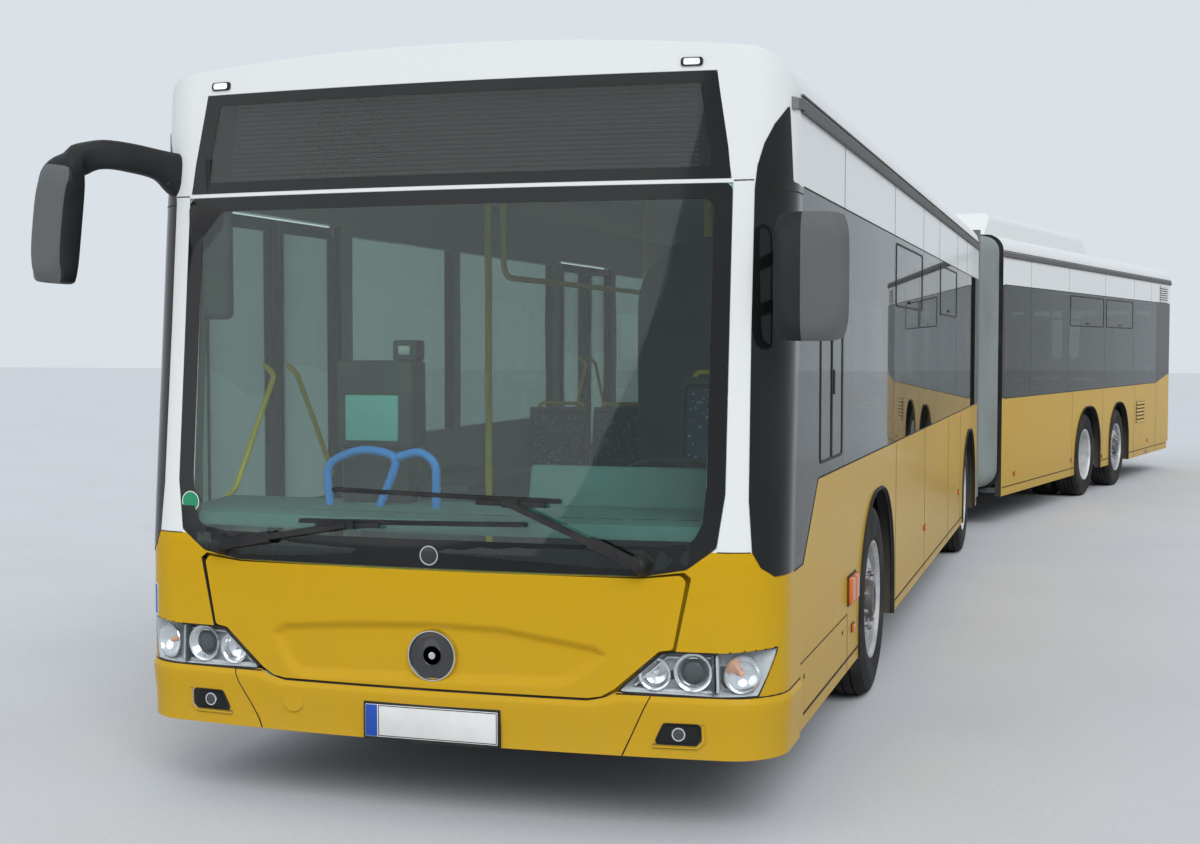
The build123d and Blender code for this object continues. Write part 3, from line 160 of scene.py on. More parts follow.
floor_mesh = bpy.data.meshes.new("studio floor")
floor_shape = bmesh.new()
bmesh.ops.create_grid(floor_shape, x_segments=24, y_segments=24, size=90.0)
floor_shape.to_mesh(floor_mesh)
floor_shape.free()
studio_floor = bpy.data.objects.new("studio_floor", floor_mesh)
bpy.context.scene.collection.objects.link(studio_floor)


def blended(tree, factor, first, second):
    """Mix of two colours by a factor."""
    return added(tree, "ShaderNodeMix", {"Factor": factor, 6: first, 7: second}, data_type="RGBA").outputs[2]


def group_of(name, inputs, outputs):
    """New node group with its inputs (kind and default) and outputs (kind), and both of its end nodes."""
    group = bpy.data.node_groups.new(name, "ShaderNodeTree")
    for label, (kind, value) in inputs.items():
        socket = group.interface.new_socket(label, in_out="INPUT", socket_type=f"NodeSocket{kind}")
        if value is not None:
            socket.default_value = value
    for label, kind in outputs.items():
        group.interface.new_socket(label, in_out="OUTPUT", socket_type=f"NodeSocket{kind}")
    return group, group.nodes.new("NodeGroupInput").outputs, group.nodes.new("NodeGroupOutput")


def surface_group():
    """Aged surface: patches of stain and fine grain over a colour, with its roughness and height."""
    group, given, result = group_of("aged surface", {
        "Vector": ("Vector", None), "Colour": ("Color", None), "Stain": ("Color", None),
        "Stain Amount": ("Float", 0.2), "Patch Scale": ("Float", 3.0), "Grain Scale": ("Float", 60.0),
        "Grain Contrast": ("Float", 0.08), "Roughness": ("Float", 0.5), "Roughness Spread": ("Float", 0.15)},
        {"Colour": "Color", "Roughness": "Float", "Height": "Float"})
    patch, grain = (added(group, "ShaderNodeTexNoise", {"Vector": given["Vector"], "Scale": given[scale],
                                                        "Detail": detail}).outputs["Fac"]
                    for scale, detail in (("Patch Scale", 6.0), ("Grain Scale", 3.0)))
    patch_mask = added(group, "ShaderNodeMapRange", {"Value": patch, "From Min": 0.42, "From Max": 0.68})
    amount = worked(group, "MULTIPLY", patch_mask.outputs[0], given["Stain Amount"])
    stained = blended(group, amount, given["Colour"], given["Stain"])
    swing = worked(group, "MULTIPLY_ADD", worked(group, "SUBTRACT", grain, 0.5), given["Grain Contrast"], 1.0)
    grained = added(group, "ShaderNodeVectorMath", {0: stained, "Scale": swing}, operation="SCALE")
    rough = worked(group, "MULTIPLY_ADD", worked(group, "SUBTRACT", patch, 0.5), given["Roughness Spread"],
                   given["Roughness"])
    rough.node.use_clamp = True
    fed(group, result, {"Colour": grained.outputs[0], "Roughness": rough, "Height": grain})
    return group


aged_surface = surface_group()


def new_material(name):
    """New material, its tree and its shader."""
    material = bpy.data.materials.new(name)
    material.use_nodes = True
    return material, material.node_tree, material.node_tree.nodes["Principled BSDF"]


def aged(tree, inputs):
    """Outputs of the aged surface, laid over a piece's own coordinates."""
    coordinates = tree.nodes.new("ShaderNodeTexCoord")
    return added(tree, "ShaderNodeGroup", {"Vector": coordinates.outputs["Object"], **inputs},
                 node_tree=aged_surface).outputs


def relief(tree, height, strength, distance):
    """Normal of an uneven surface from its height."""
    return added(tree, "ShaderNodeBump", {"Height": height, "Strength": strength,
                                          "Distance": distance}).outputs["Normal"]


def aged_finish(name, colour, stain, roughness, stain_amount=0.3, patch_scale=3.0, grain_scale=80.0,
                grain_contrast=0.15, spread=0.2, bump=0.15, metallic=0.0, coat=0.0):
    """Material of one plain substance with stains, grain, uneven gloss and a fine bump."""
    material, tree, shader = new_material(name)
    surface = aged(tree,
                   {"Colour": (*colour, 1.0), "Stain": (*stain, 1.0), "Stain Amount": stain_amount,
                    "Patch Scale": patch_scale, "Grain Scale": grain_scale,
                    "Grain Contrast": grain_contrast, "Roughness": roughness, "Roughness Spread": spread})
    fed(tree, shader,
        {"Metallic": metallic, "Coat Weight": coat, "IOR": 1.25, "Base Color": surface["Colour"],
         "Roughness": surface["Roughness"], "Normal": relief(tree, surface["Height"], bump, 0.004)})
    return material


floor_mesh.materials.append(aged_finish("studio floor paint", (0.62, 0.63, 0.645), (0.56, 0.57, 0.58), 0.9,
                                        stain_amount=0.35, patch_scale=0.8, grain_scale=40.0, bump=0.05))

# Body shell: painted aluminium and steel panels, yellow below the belt, black behind the glass, white
# above it and on the pillars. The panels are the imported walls, roofs, nose, bumper, flap and tail.
yellow = (0.57, 0.335, 0.009)
white = (0.75, 0.76, 0.75)
glass_black = (0.012, 0.014, 0.015)
lining_grey = (0.42, 0.43, 0.43)
road_dust = (0.30, 0.25, 0.17, 1.0)
belt_z = 1.235
glass_top_z = 2.325
rise_rate = 0.125
never_y = 30.0


def coachwork_group():
    """Livery by height with dust low down and slight unevenness, the inner lining's colour, and painted shade
    on faces turned away.
    """
    inputs = {label: ("Vector", None) for label in ("Vector", "Normal")}
    inputs |= {label: ("Color", None) for label in ("Low Colour", "Band Colour", "High Colour", "Lining",
                                                    "Turned Away Shade")}
    inputs |= {label: ("Float", None) for label in ("Band Bottom", "Band Top", "Rise Start", "Dust")}
    group, given, result = group_of("coachwork", inputs, {"Colour": "Color", "Roughness": "Float",
                                                          "Gloss": "Float", "Height": "Float"})

    def sum_of(operation, *values):
        return worked(group, operation, *values)

    x, y, z = added(group, "ShaderNodeSeparateXYZ", {0: given["Vector"]}).outputs
    facing = added(group, "ShaderNodeSeparateXYZ", {0: given["Normal"]}).outputs
    rise = sum_of("MAXIMUM", sum_of("MULTIPLY", sum_of("SUBTRACT", y, given["Rise Start"]), rise_rate), 0.0)
    above_belt = sum_of("GREATER_THAN", z, sum_of("ADD", given["Band Bottom"], rise))
    above_glass = sum_of("GREATER_THAN", z, given["Band Top"])
    livery = blended(group, above_belt, given["Low Colour"], given["Band Colour"])
    livery = blended(group, above_glass, livery, given["High Colour"])
    near_nose = sum_of("MINIMUM", sum_of("SUBTRACT", y, 1.0), 0.0)
    near_ends = sum_of("ADD", near_nose, sum_of("MAXIMUM", sum_of("SUBTRACT", y, 18.5), 0.0))
    near_roof = sum_of("MAXIMUM", sum_of("SUBTRACT", z, 2.0), 0.0)
    outward = sum_of("MULTIPLY_ADD", facing[2], near_roof, sum_of("MULTIPLY", facing[0], x))
    outward = sum_of("MULTIPLY_ADD", facing[1], near_ends, outward)
    # Faces turned away from outside, such as reveals, arch returns and undersides, take the near-black
    # turned-away colour. It is painted shade on the undersides and returns, and the black of the reveals
    # behind the glass.
    edge = sum_of("LESS_THAN", outward, 0.5)
    coloured = blended(group, edge, livery, given["Turned Away Shade"])
    coloured = blended(group, sum_of("LESS_THAN", outward, -0.1), coloured, given["Lining"])
    cloud = added(group, "ShaderNodeTexNoise", {"Vector": given["Vector"], "Scale": 1.3,
                                                "Detail": 5.0}).outputs["Fac"]
    streak_place = added(group, "ShaderNodeMapping", {"Vector": given["Vector"], "Scale": (9.0, 9.0, 1.0)})
    streak = added(group, "ShaderNodeTexNoise", {"Vector": streak_place.outputs[0], "Scale": 2.0,
                                                 "Detail": 4.0}).outputs["Fac"]
    low = added(group, "ShaderNodeMapRange", {"Value": z, "From Min": 1.1, "From Max": 0.25}).outputs[0]
    grime = sum_of("MULTIPLY", sum_of("POWER", low, 1.6), sum_of("ADD", streak, 0.15))
    film = sum_of("ADD", sum_of("MULTIPLY", cloud, 0.05), grime)
    dust = sum_of("MULTIPLY", film, given["Dust"])
    outer = sum_of("MULTIPLY", sum_of("SUBTRACT", 1.0, edge), 0.12)
    clean = sum_of("SUBTRACT", 1.0, sum_of("MULTIPLY", dust, 0.8))
    fed(group, result, {"Colour": blended(group, dust, coloured, road_dust),
                        "Roughness": sum_of("MULTIPLY_ADD", dust, 0.5, 0.22),
                        "Gloss": sum_of("MULTIPLY", outer, clean),
                        "Height": sum_of("ADD", sum_of("MULTIPLY", cloud, 0.6), streak)})
    return group


coachwork = coachwork_group()


def straightened(tree, place):
    """The straight vehicle's coordinates and normal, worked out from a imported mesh's own."""
    own = tree.nodes.new("ShaderNodeTexCoord").outputs
    return [added(tree, "ShaderNodeMapping", {"Vector": own[source], "Location": shift,
                                              "Rotation": place.to_euler()}, vector_type="TEXTURE").outputs[0]
            for source, shift in (("Object", place.translation), ("Normal", (0.0, 0.0, 0.0)))]


def coach_paint(name, place, low=yellow, band=glass_black, high=white, bottom=belt_z, top=glass_top_z,
                rise_start=18.49, dust=0.35, lining=lining_grey, edge=(0.03, 0.03, 0.03)):
    """Two-coat gloss paint in the livery of one part of the body, with painted shade on its faces turned away
    from outside.
    """
    material, tree, shader = new_material(name)
    spot, normal = straightened(tree, place)
    colours = {"Low Colour": low, "Band Colour": band, "High Colour": high, "Lining": lining,
               "Turned Away Shade": edge}
    body = added(tree, "ShaderNodeGroup", {label: (*colour, 1.0) for label, colour in colours.items()},
                 node_tree=coachwork)
    paint = fed(tree, body, {"Vector": spot, "Normal": normal, "Band Bottom": bottom, "Band Top": top,
                             "Rise Start": rise_start, "Dust": dust}).outputs
    fed(tree, shader, {"Coat Roughness": 0.04, "IOR": 1.12, "Coat IOR": 1.3, "Base Color": paint["Colour"],
                       "Roughness": paint["Roughness"], "Coat Weight": paint["Gloss"],
                       "Normal": relief(tree, paint["Height"], 0.06, 0.006)})
    return material


def cover_node(node, material):
    """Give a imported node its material."""
    slots = frame["nodes"][node].data.materials
    if len(slots):
        slots[0] = material
    else:
        slots.append(material)


wall_paint = {"front": coach_paint("front side paint", front_place),
              "rear": coach_paint("rear side paint", rear_place)}
for end in ("front", "rear"):
    for side_name in ("left", "right"):
        cover_node(f"{end}_{side_name}_wall", wall_paint[end])
nose_border_z = 1.03
nose_dust = 0.16
nose_paint = coach_paint("nose paint", front_place, band=white, bottom=nose_border_z, rise_start=never_y,
                         dust=nose_dust, lining=(0.05, 0.05, 0.05))
low_nose_paint = coach_paint("bumper paint", front_place, band=yellow, high=yellow, rise_start=never_y,
                             dust=nose_dust)
cover_node("front_mask", nose_paint)
cover_node("front_bumper", low_nose_paint)
roof_paint = {end: coach_paint(f"{end} roof paint", place, low=white, band=white, dust=0.15,
                               lining=(0.6, 0.6, 0.58))
              for end, place in (("front", front_place), ("rear", rear_place))}
cover_node("front_roof", roof_paint["front"])
cover_node("rear_roof", roof_paint["rear"])
cover_node("rear_roof_unit", roof_paint["rear"])
tail_paint = coach_paint("tail paint", rear_place)
cover_node("tail_mask", tail_paint)
cover_node("engine_cover", coach_paint("engine cover paint", rear_place, band=yellow, rise_start=never_y))

# Under the body: floors of board on steel, cast axle beams, knuckles, turntable and engine. They are the
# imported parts, with the road's dust on them.
cast_iron = aged_finish("cast iron", (0.05, 0.048, 0.045), (0.13, 0.07, 0.035), 0.62, stain_amount=0.5,
                        patch_scale=7.0, grain_scale=160.0, bump=0.5, metallic=0.6)
floor_board = aged_finish("floor covering", (0.11, 0.12, 0.13), (0.07, 0.07, 0.07), 0.6, stain_amount=0.5,
                          patch_scale=4.0, grain_scale=220.0, grain_contrast=0.5, bump=0.2)
for node in ("front_floor", "rear_floor", "rear_deck"):
    cover_node(node, floor_board)
for node in ("front_axles", "rear_axles", "turntable", "engine", "front_left_knuckle", "front_right_knuckle",
             "trailing_left_knuckle", "trailing_right_knuckle"):
    cover_node(node, cast_iron)

# Glass: tinted toughened panes bonded flush to the body, and a laminated windscreen with a lighter tint
# that is neutral where it covers the display. Daylight goes through them.


def shone_through(tree, shader, tint):
    """Let light pass a glass shader, coloured by its tint."""
    path = tree.nodes.new("ShaderNodeLightPath")
    clear = added(tree, "ShaderNodeBsdfTransparent", {"Color": tint})
    choice = added(tree, "ShaderNodeMixShader", {0: path.outputs["Is Shadow Ray"], 1: shader.outputs[0],
                                                 2: clear.outputs[0]})
    fed(tree, tree.nodes["Material Output"], {"Surface": choice.outputs[0]})


def tinted_pane(name, tint, film, bending, upper=None, upper_z=None):
    """Tinted glass with a faint uneven film of dust on it, and another tint above a height."""
    material, tree, shader = new_material(name)
    colour = (*tint, 1.0)
    if upper:
        own = tree.nodes.new("ShaderNodeTexCoord")
        spot = added(tree, "ShaderNodeSeparateXYZ", {0: own.outputs["Object"]})
        colour = blended(tree, worked(tree, "GREATER_THAN", spot.outputs["Z"], upper_z), colour,
                         (*upper, 1.0))
    surface = aged(tree, {"Colour": colour, "Stain": (*film, 1.0), "Stain Amount": 0.3, "Patch Scale": 1.2,
                          "Grain Scale": 30.0, "Grain Contrast": 0.04, "Roughness": 0.012,
                          "Roughness Spread": 0.03})
    fed(tree, shader, {"Transmission Weight": 1.0, "Metallic": 0.0, "IOR": bending,
                       "Base Color": surface["Colour"], "Roughness": surface["Roughness"]})
    shone_through(tree, shader, (*tint, 1.0))
    return material


display_z = 2.33
side_tint = tinted_pane("side glass", (0.20, 0.25, 0.24), (0.18, 0.22, 0.21), 1.16)
screen_tint = tinted_pane("windscreen glass", (0.62, 0.80, 0.74), (0.55, 0.66, 0.60), 1.4,
                          (0.48, 0.50, 0.49), display_z)
cover_node("front_glazing", side_tint)
cover_node("rear_glazing", side_tint)
cover_node("windscreen", screen_tint)

# Wheels: steel rims with steel-belted tyres. The steered ones show a domed silver plate with hand holes
# and a ring of nuts, the twin ones a deep white dish. Tyre and rim are separate pieces on the wheel.


def made(name, shape, body, slot, *materials, place=None, sharp=35.0):
    """Make a piece from a shape, set where it is told or where its body is, and fix it to its body."""
    if place is None:
        place = places.get(body)
    if place is not None:
        shape.transform(place)
    bmesh.ops.recalc_face_normals(shape, faces=shape.faces)
    mesh = bpy.data.meshes.new(name)
    shape.to_mesh(mesh)
    shape.free()
    for polygon in mesh.polygons:
        polygon.use_smooth = True
    mesh.set_sharp_from_angle(angle=math.radians(sharp))
    for material in materials:
        mesh.materials.append(material)
    piece = bpy.data.objects.new(name, mesh)
    bpy.context.scene.collection.objects.link(piece)
    if body:
        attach(piece, body)
    return piece


def joined(shape, rings, finish=0, looped=False, capped=False, slit=False):
    """Join closed rings of corners one to the next, looped to the first again or capped at both ends."""
    faces = []
    for near, far in zip(rings, rings[1:] + rings[:1] if looped else rings[1:]):
        count = len(near)
        faces += [shape.faces.new((near[row], near[(row + 1) % count], far[(row + 1) % count], far[row]))
                  for row in range(count - 1 if slit else count)]
    if capped:
        faces += [shape.faces.new(rings[0]), shape.faces.new(rings[-1])]
    for face in faces:
        face.material_index = finish


def turned(shape, profile, segments, place=Matrix(), closed=True, finish=0):
    """Add a turned form: (distance along x, radius) points spun about the x axis, then set in place."""
    rings = []
    for number in range(segments):
        angle = math.tau * number / segments
        spots = [Vector((along, radius * math.cos(angle), radius * math.sin(angle)))
                 for along, radius in profile]
        rings.append([shape.verts.new(place @ spot) for spot in spots])
    joined(shape, rings, finish, looped=True, slit=not closed)
    bmesh.ops.remove_doubles(shape, verts=shape.verts[:], dist=1e-6)
    return rings


def block(shape, low, high, bevel=0.004, place=Matrix(), finish=0, segments=2):
    """Add a block with softened edges between two corners."""
    size = Vector(high) - Vector(low)
    centre = (Vector(high) + Vector(low)) / 2
    new = bmesh.ops.create_cube(shape, size=1.0)["verts"]
    bmesh.ops.scale(shape, vec=size, verts=new)
    bmesh.ops.translate(shape, vec=centre, verts=new)
    edges = list({edge for vert in new for edge in vert.link_edges})
    if bevel:
        result = bmesh.ops.bevel(shape, geom=edges, offset=min(bevel, min(size) * 0.45), segments=segments,
                                 profile=0.5, affect="EDGES")
        new = list({vert for face in result["faces"] for vert in face.verts} | {v for v in new if v.is_valid})
    faces = {face for vert in new for face in vert.link_faces}
    for face in faces:
        face.material_index = finish
    bmesh.ops.transform(shape, matrix=place, verts=new)


tyre_radius = 0.47825
groove_radius = 0.4665
tread_rows = ((0.0755, tyre_radius), (0.0735, groove_radius), (0.0665, groove_radius), (0.0645, tyre_radius),
              (0.0275, tyre_radius), (0.0255, 0.4655), (0.0175, 0.4655), (0.0155, tyre_radius))
side_rows = ((0.116, 0.287), (0.1245, 0.292), (0.1275, 0.300), (0.1300, 0.3115), (0.1322, 0.3130),
             (0.1320, 0.3160), (0.1337, 0.3310), (0.1362, 0.3560), (0.1372, 0.3800), (0.1366, 0.4020),
             (0.1372, 0.4040), (0.1360, 0.4065), (0.1318, 0.4260), (0.1290, 0.4400), (0.1235, 0.4560),
             (0.1085, 0.4690), (0.0955, 0.4745))
tyre_profile = side_rows + tread_rows
tyre_profile += tuple((-along, radius) for along, radius in reversed(tyre_profile))
tyre_profile += ((-0.105, 0.2835), (0.105, 0.2835))
tread_pitches = 84

tyre_black = aged_finish("tyre rubber", (0.020, 0.020, 0.021), (0.075, 0.068, 0.058), 0.78, stain_amount=0.6,
                         patch_scale=5.0, grain_scale=300.0, grain_contrast=0.5, bump=0.35)
rim_silver = aged_finish("silver wheel paint", (0.56, 0.57, 0.58), (0.26, 0.23, 0.20), 0.36,
                         stain_amount=0.45, patch_scale=9.0, grain_scale=150.0, bump=0.12, metallic=0.55)
rim_white = aged_finish("white wheel paint", (0.66, 0.67, 0.67), (0.33, 0.30, 0.26), 0.42, stain_amount=0.5,
                        patch_scale=8.0, grain_scale=150.0, bump=0.12, metallic=0.15)
hub_grey = aged_finish("hub casting", (0.12, 0.12, 0.125), (0.16, 0.10, 0.06), 0.5, stain_amount=0.6,
                       patch_scale=14.0, grain_scale=200.0, bump=0.3, metallic=0.7)
nut_steel = aged_finish("nut steel", (0.34, 0.34, 0.34), (0.20, 0.12, 0.07), 0.38, stain_amount=0.5,
                        patch_scale=30.0, grain_scale=300.0, bump=0.15, metallic=0.9)


def tyre_shape(spots):
    """Tyres with four grooves and a notched shoulder round the given middle planes."""
    shape = bmesh.new()
    shoulder = [(row, 0.9905 if abs(along) > 0.1 else 0.994)
                for row, (along, radius) in enumerate(tyre_profile) if radius > 0.455 and abs(along) > 0.09]
    for middle in spots:
        rings = turned(shape, tyre_profile, tread_pitches * 2, Matrix.Translation((middle, 0, 0)))
        for ring in rings[::2]:
            for row, shrink in shoulder:
                if ring[row].is_valid:
                    ring[row].co.y *= shrink
                    ring[row].co.z *= shrink
    return shape


def round_about(count, radius, along, shift=0.0):
    """Places evenly spaced on a circle about the wheel's axis."""
    angles = [math.tau * (number + shift) / count for number in range(count)]
    return [Matrix.Translation((along, radius * math.cos(angle), radius * math.sin(angle)))
            for angle in angles]


def nut_ring(shape, ring_radius, face_x, length, width):
    """Ten wheel nuts on their studs: hexagons with a washer and a stud end."""
    washer = ((-0.004, 0.0), (-0.004, width * 1.25), (0.003, width * 1.2), (0.003, 0.0))
    nut = ((0.0, 0.0), (0.0, width), (length - 0.003, width), (length, width * 0.82), (length, 0.0))
    stud = ((0.0, 0.0), (0.0, width * 0.5), (length + 0.004, width * 0.5), (length + 0.005, 0.0))
    for spot in round_about(10, ring_radius, face_x, 0.5):
        for profile, segments in ((washer, 14), (nut, 6), (stud, 10)):
            turned(shape, profile, segments, spot, closed=False, finish=2)


def hub_screws(shape, ring_radius, face_x):
    """Eight small screws round a hub's cap."""
    for spot in round_about(8, ring_radius, face_x):
        turned(shape, ((-0.006, 0.0), (-0.006, 0.0065), (0.0015, 0.0065), (0.0015, 0.0)), 6, spot,
               closed=False, finish=2)


def holed(mesh_shape, count, ring_radius, hole_radius, low_x, high_x):
    """Cut a ring of round holes through a wheel plate."""
    body = bpy.data.meshes.new("wheel plate")
    mesh_shape.to_mesh(body)
    mesh_shape.free()
    cutter_shape = bmesh.new()
    for spot in round_about(count, ring_radius, 0.0):
        turned(cutter_shape, ((low_x, 0.0), (low_x, hole_radius), (high_x, hole_radius), (high_x, 0.0)), 20,
               spot, closed=False)
    bmesh.ops.recalc_face_normals(cutter_shape, faces=cutter_shape.faces)
    cutter_mesh = bpy.data.meshes.new("hole cutter")
    cutter_shape.to_mesh(cutter_mesh)
    cutter_shape.free()
    plate = bpy.data.objects.new("wheel plate", body)
    cutter = bpy.data.objects.new("hole cutter", cutter_mesh)
    for item in (plate, cutter):
        bpy.context.scene.collection.objects.link(item)
    cut = plate.modifiers.new("holes", "BOOLEAN")
    cut.operation = "DIFFERENCE"
    cut.solver = "EXACT"
    cut.object = cutter
    graph = bpy.context.evaluated_depsgraph_get()
    result = bpy.data.meshes.new_from_object(plate.evaluated_get(graph))
    holed_shape = bmesh.new()
    holed_shape.from_mesh(result)
    for item in (plate, cutter):
        bpy.data.objects.remove(item)
    for mesh in (body, cutter_mesh, result):
        bpy.data.meshes.remove(mesh)
    return holed_shape


rim_edge = ((0.128, 0.2850), (0.1285, 0.2930), (0.1240, 0.2930), (0.1180, 0.2790), (-0.118, 0.2790),
            (-0.128, 0.2850), (-0.128, 0.2790), (-0.112, 0.2717))


def steered_rim():
    """Rim with a domed plate: barrel, hand holes, nuts and grease cap."""
    shape = bmesh.new()
    plate = rim_edge + (
        (0.018, 0.2440), (0.040, 0.2330), (0.086, 0.2010), (0.093, 0.1180), (0.100, 0.1180), (0.1035, 0.1200),
        (0.1075, 0.1500), (0.1060, 0.1880), (0.1010, 0.2035), (0.0930, 0.2090), (0.0500, 0.2430),
        (0.0360, 0.2560), (0.0400, 0.2680), (0.0560, 0.2717), (0.1100, 0.2730))
    turned(shape, plate, 96)
    bmesh.ops.recalc_face_normals(shape, faces=shape.faces)
    shape = holed(shape, 10, 0.1835, 0.0155, 0.05, 0.13)
    hub = ((0.05, 0.0), (0.05, 0.119), (0.101, 0.1195), (0.1045, 0.112), (0.1075, 0.098), (0.1280, 0.0900),
           (0.1360, 0.0820), (0.1375, 0.0560), (0.1330, 0.0530), (0.1330, 0.0))
    turned(shape, hub, 64, closed=False, finish=1)
    hub_screws(shape, 0.069, 0.1365)
    nut_ring(shape, 0.1420, 0.1065, 0.017, 0.014)
    return shape


def twin_rims():
    """Two rims bolted back to back, the outer one seen as a deep dish with the hub in it."""
    shape = bmesh.new()
    outer = rim_edge + ((-0.146, 0.2010), (-0.150, 0.1180), (-0.142, 0.1180), (-0.138, 0.1900),
                        (-0.128, 0.2060), (-0.092, 0.2500), (-0.070, 0.2640), (-0.040, 0.2680),
                        (0.030, 0.2690), (0.060, 0.2717), (0.1100, 0.2730))
    turned(shape, outer, 96)
    turned(shape, [(-along, radius) for along, radius in outer], 64, Matrix.Translation((-twin_gap, 0, 0)))
    hub = ((-0.16, 0.0), (-0.16, 0.1185), (-0.136, 0.1190), (-0.110, 0.112), (0.010, 0.106), (0.022, 0.100),
           (0.040, 0.088), (0.045, 0.075), (0.045, 0.045), (0.039, 0.042), (0.039, 0.0))
    turned(shape, hub, 64, closed=False, finish=1)
    hub_screws(shape, 0.062, 0.044)
    nut_ring(shape, 0.1550, -0.139, 0.022, 0.015)
    return shape


hub_x = {"front": 1.115, "trailing": 1.115, "middle": 1.098, "drive": 1.098}
twin_gap = 0.310
axle_y = {"front": 2.705, "middle": 8.550, "drive": 14.540, "trailing": 16.140}
for axle, along_y in axle_y.items():
    section_place = front_place if axle in ("front", "middle") else rear_place
    twin = axle in ("middle", "drive")
    for side_name, side in (("left", 1), ("right", -1)):
        wheel = f"{axle}_{side_name}_wheel" + ("s" if twin else "")
        place = (section_place @ Matrix.Translation((side * hub_x[axle], along_y, tyre_radius))
                 @ Matrix.Rotation(0.0 if side > 0 else math.pi, 4, "Z"))
        rubber = made(f"{wheel}_rubber", tyre_shape((0.0, -twin_gap) if twin else (0.0,)), wheel,
                      "tyre_rubber", tyre_black, place=place, sharp=28)
        steel = made(f"{wheel}_steel", twin_rims() if twin else steered_rim(), wheel, "wheel_steel",
                     rim_white if twin else rim_silver, hub_grey, nut_steel, place=place, sharp=30)
        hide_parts(f"{axle}_{side_name}_tyre" + ("s" if twin else ""))
        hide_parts(f"{axle}_{side_name}_rim" + ("s" if twin else ""))

# Nose panel and its joints: the seams, gaskets and black glass that lie on the moulded nose. The nose is
# a bowed sheet with rounded corners that leans back above the belt, so all of it follows one surface.
nose_bow = math.radians(6.3)
bow_radius = 9.836
corner_radius = 0.22
corner_x = half_width - corner_radius
corner_y = 0.2781
bow_length = bow_radius * nose_bow
corner_length = corner_radius * (math.pi / 2 - nose_bow)
lean_start_z = 1.0
lean = 0.096
wall_top_z = 2.595


def eased(share):
    """Share of a change, held between 0 and 1 and soft at both ends."""
    share = min(1.0, max(0.0, share))
    return share * share * (3 - 2 * share)


def leaning(z):
    """How far the nose has leaned back at a height."""
    return max(0.0, z - lean_start_z) * lean


def nose_point(s, z, lift=0.0):
    """Point on the nose at a length s round it from the middle, at a height, proud by lift."""
    reach = abs(s)
    if reach < bow_length:
        angle = reach / bow_radius
        x = bow_radius * math.sin(angle)
        y = bow_radius * (1 - math.cos(angle))
    else:
        angle = min(nose_bow + (reach - bow_length) / corner_radius, math.pi / 2)
        x = corner_x + corner_radius * math.sin(angle)
        y = corner_y - corner_radius * math.cos(angle) + max(0.0, reach - bow_length - corner_length)
    x += lift * math.sin(angle)
    y += leaning(z) - lift * math.cos(angle)
    return Vector((math.copysign(x, s), y, z))


def s_at_x(x):
    """Length round the nose at which it stands at a distance x from the middle plane."""
    reach = abs(x)
    if reach < bow_radius * math.sin(nose_bow):
        s = bow_radius * math.asin(reach / bow_radius)
    else:
        s = bow_length + corner_radius * (math.asin(min(1.0, (reach - corner_x) / corner_radius)) - nose_bow)
    return math.copysign(s, x)


def s_at_y(y, z, side=1):
    """Length round the nose at which it has come back as far as y."""
    back = y - leaning(z)
    if back < corner_y:
        s = bow_length + corner_radius * (math.acos(min(1.0, (corner_y - back) / corner_radius)) - nose_bow)
    else:
        s = bow_length + corner_length + back - corner_y
    return side * s


def across(rows, side=1):
    """Turn (x, z) rows seen from the front into lengths round the nose, on one side of it, and heights."""
    return [(side * s_at_x(x), z) for x, z in rows]


def softened(points, radius, steps=5):
    """Round the corners of a closed outline."""
    outline = []
    count = len(points)
    for number in range(count):
        corner = Vector(points[number])
        back = Vector(points[number - 1]) - corner
        on = Vector(points[(number + 1) % count]) - corner
        turn = back.normalized().angle(on.normalized())
        if turn > math.pi - 0.05:
            outline.append(tuple(corner))
            continue
        cut = min(radius / math.tan(turn / 2), back.length * 0.45, on.length * 0.45)
        start = corner + back.normalized() * cut
        end = corner + on.normalized() * cut
        for step in range(steps + 1):
            t = step / steps
            outline.append(tuple(start * (1 - t) ** 2 + corner * 2 * t * (1 - t) + end * t ** 2))
    return outline


def laid(shape, flat, surface, lift, finish):
    """Move a flat cut sheet, with its depth in z, onto a surface and add it to a shape."""
    for vert in flat.verts:
        vert.co = surface(vert.co.x, vert.co.y, lift + vert.co.z)
    for face in flat.faces:
        face.material_index = finish
    sheet = bpy.data.meshes.new("laid sheet")
    flat.to_mesh(sheet)
    flat.free()
    shape.from_mesh(sheet)
    bpy.data.meshes.remove(sheet)


def skin(shape, outline, surface, lift, depth, hole=None, step=0.04, rise=None, finish=0):
    """Lay a sheet of some depth, cut to an outline, onto a curved surface."""
    flat = bmesh.new()
    for loop in (outline, hole) if hole else (outline,):
        corners = [flat.verts.new((u, v, 0)) for u, v in loop]
        for first, second in zip(corners, corners[1:] + corners[:1]):
            flat.edges.new((first, second))
    bmesh.ops.triangle_fill(flat, edges=flat.edges[:], use_beauty=True)
    low_u = min(u for u, v in outline)
    wide = max(u for u, v in outline) - low_u
    planes = [((low_u + number * step, 0, 0), (1, 0, 0)) for number in range(1, math.ceil(wide / step))]
    if rise:
        low_v = min(v for u, v in outline)
        high = max(v for u, v in outline) - low_v
        planes += [((0, low_v + number * rise, 0), (0, 1, 0)) for number in range(1, math.ceil(high / rise))]
    for spot, facing in planes:
        bmesh.ops.bisect_plane(flat, geom=flat.verts[:] + flat.edges[:] + flat.faces[:], plane_co=spot,
                               plane_no=facing)
    result = bmesh.ops.extrude_face_region(flat, geom=flat.faces[:])
    for item in result["geom"]:
        if isinstance(item, bmesh.types.BMVert):
            item.co.z = -depth
    laid(shape, flat, surface, lift, finish)


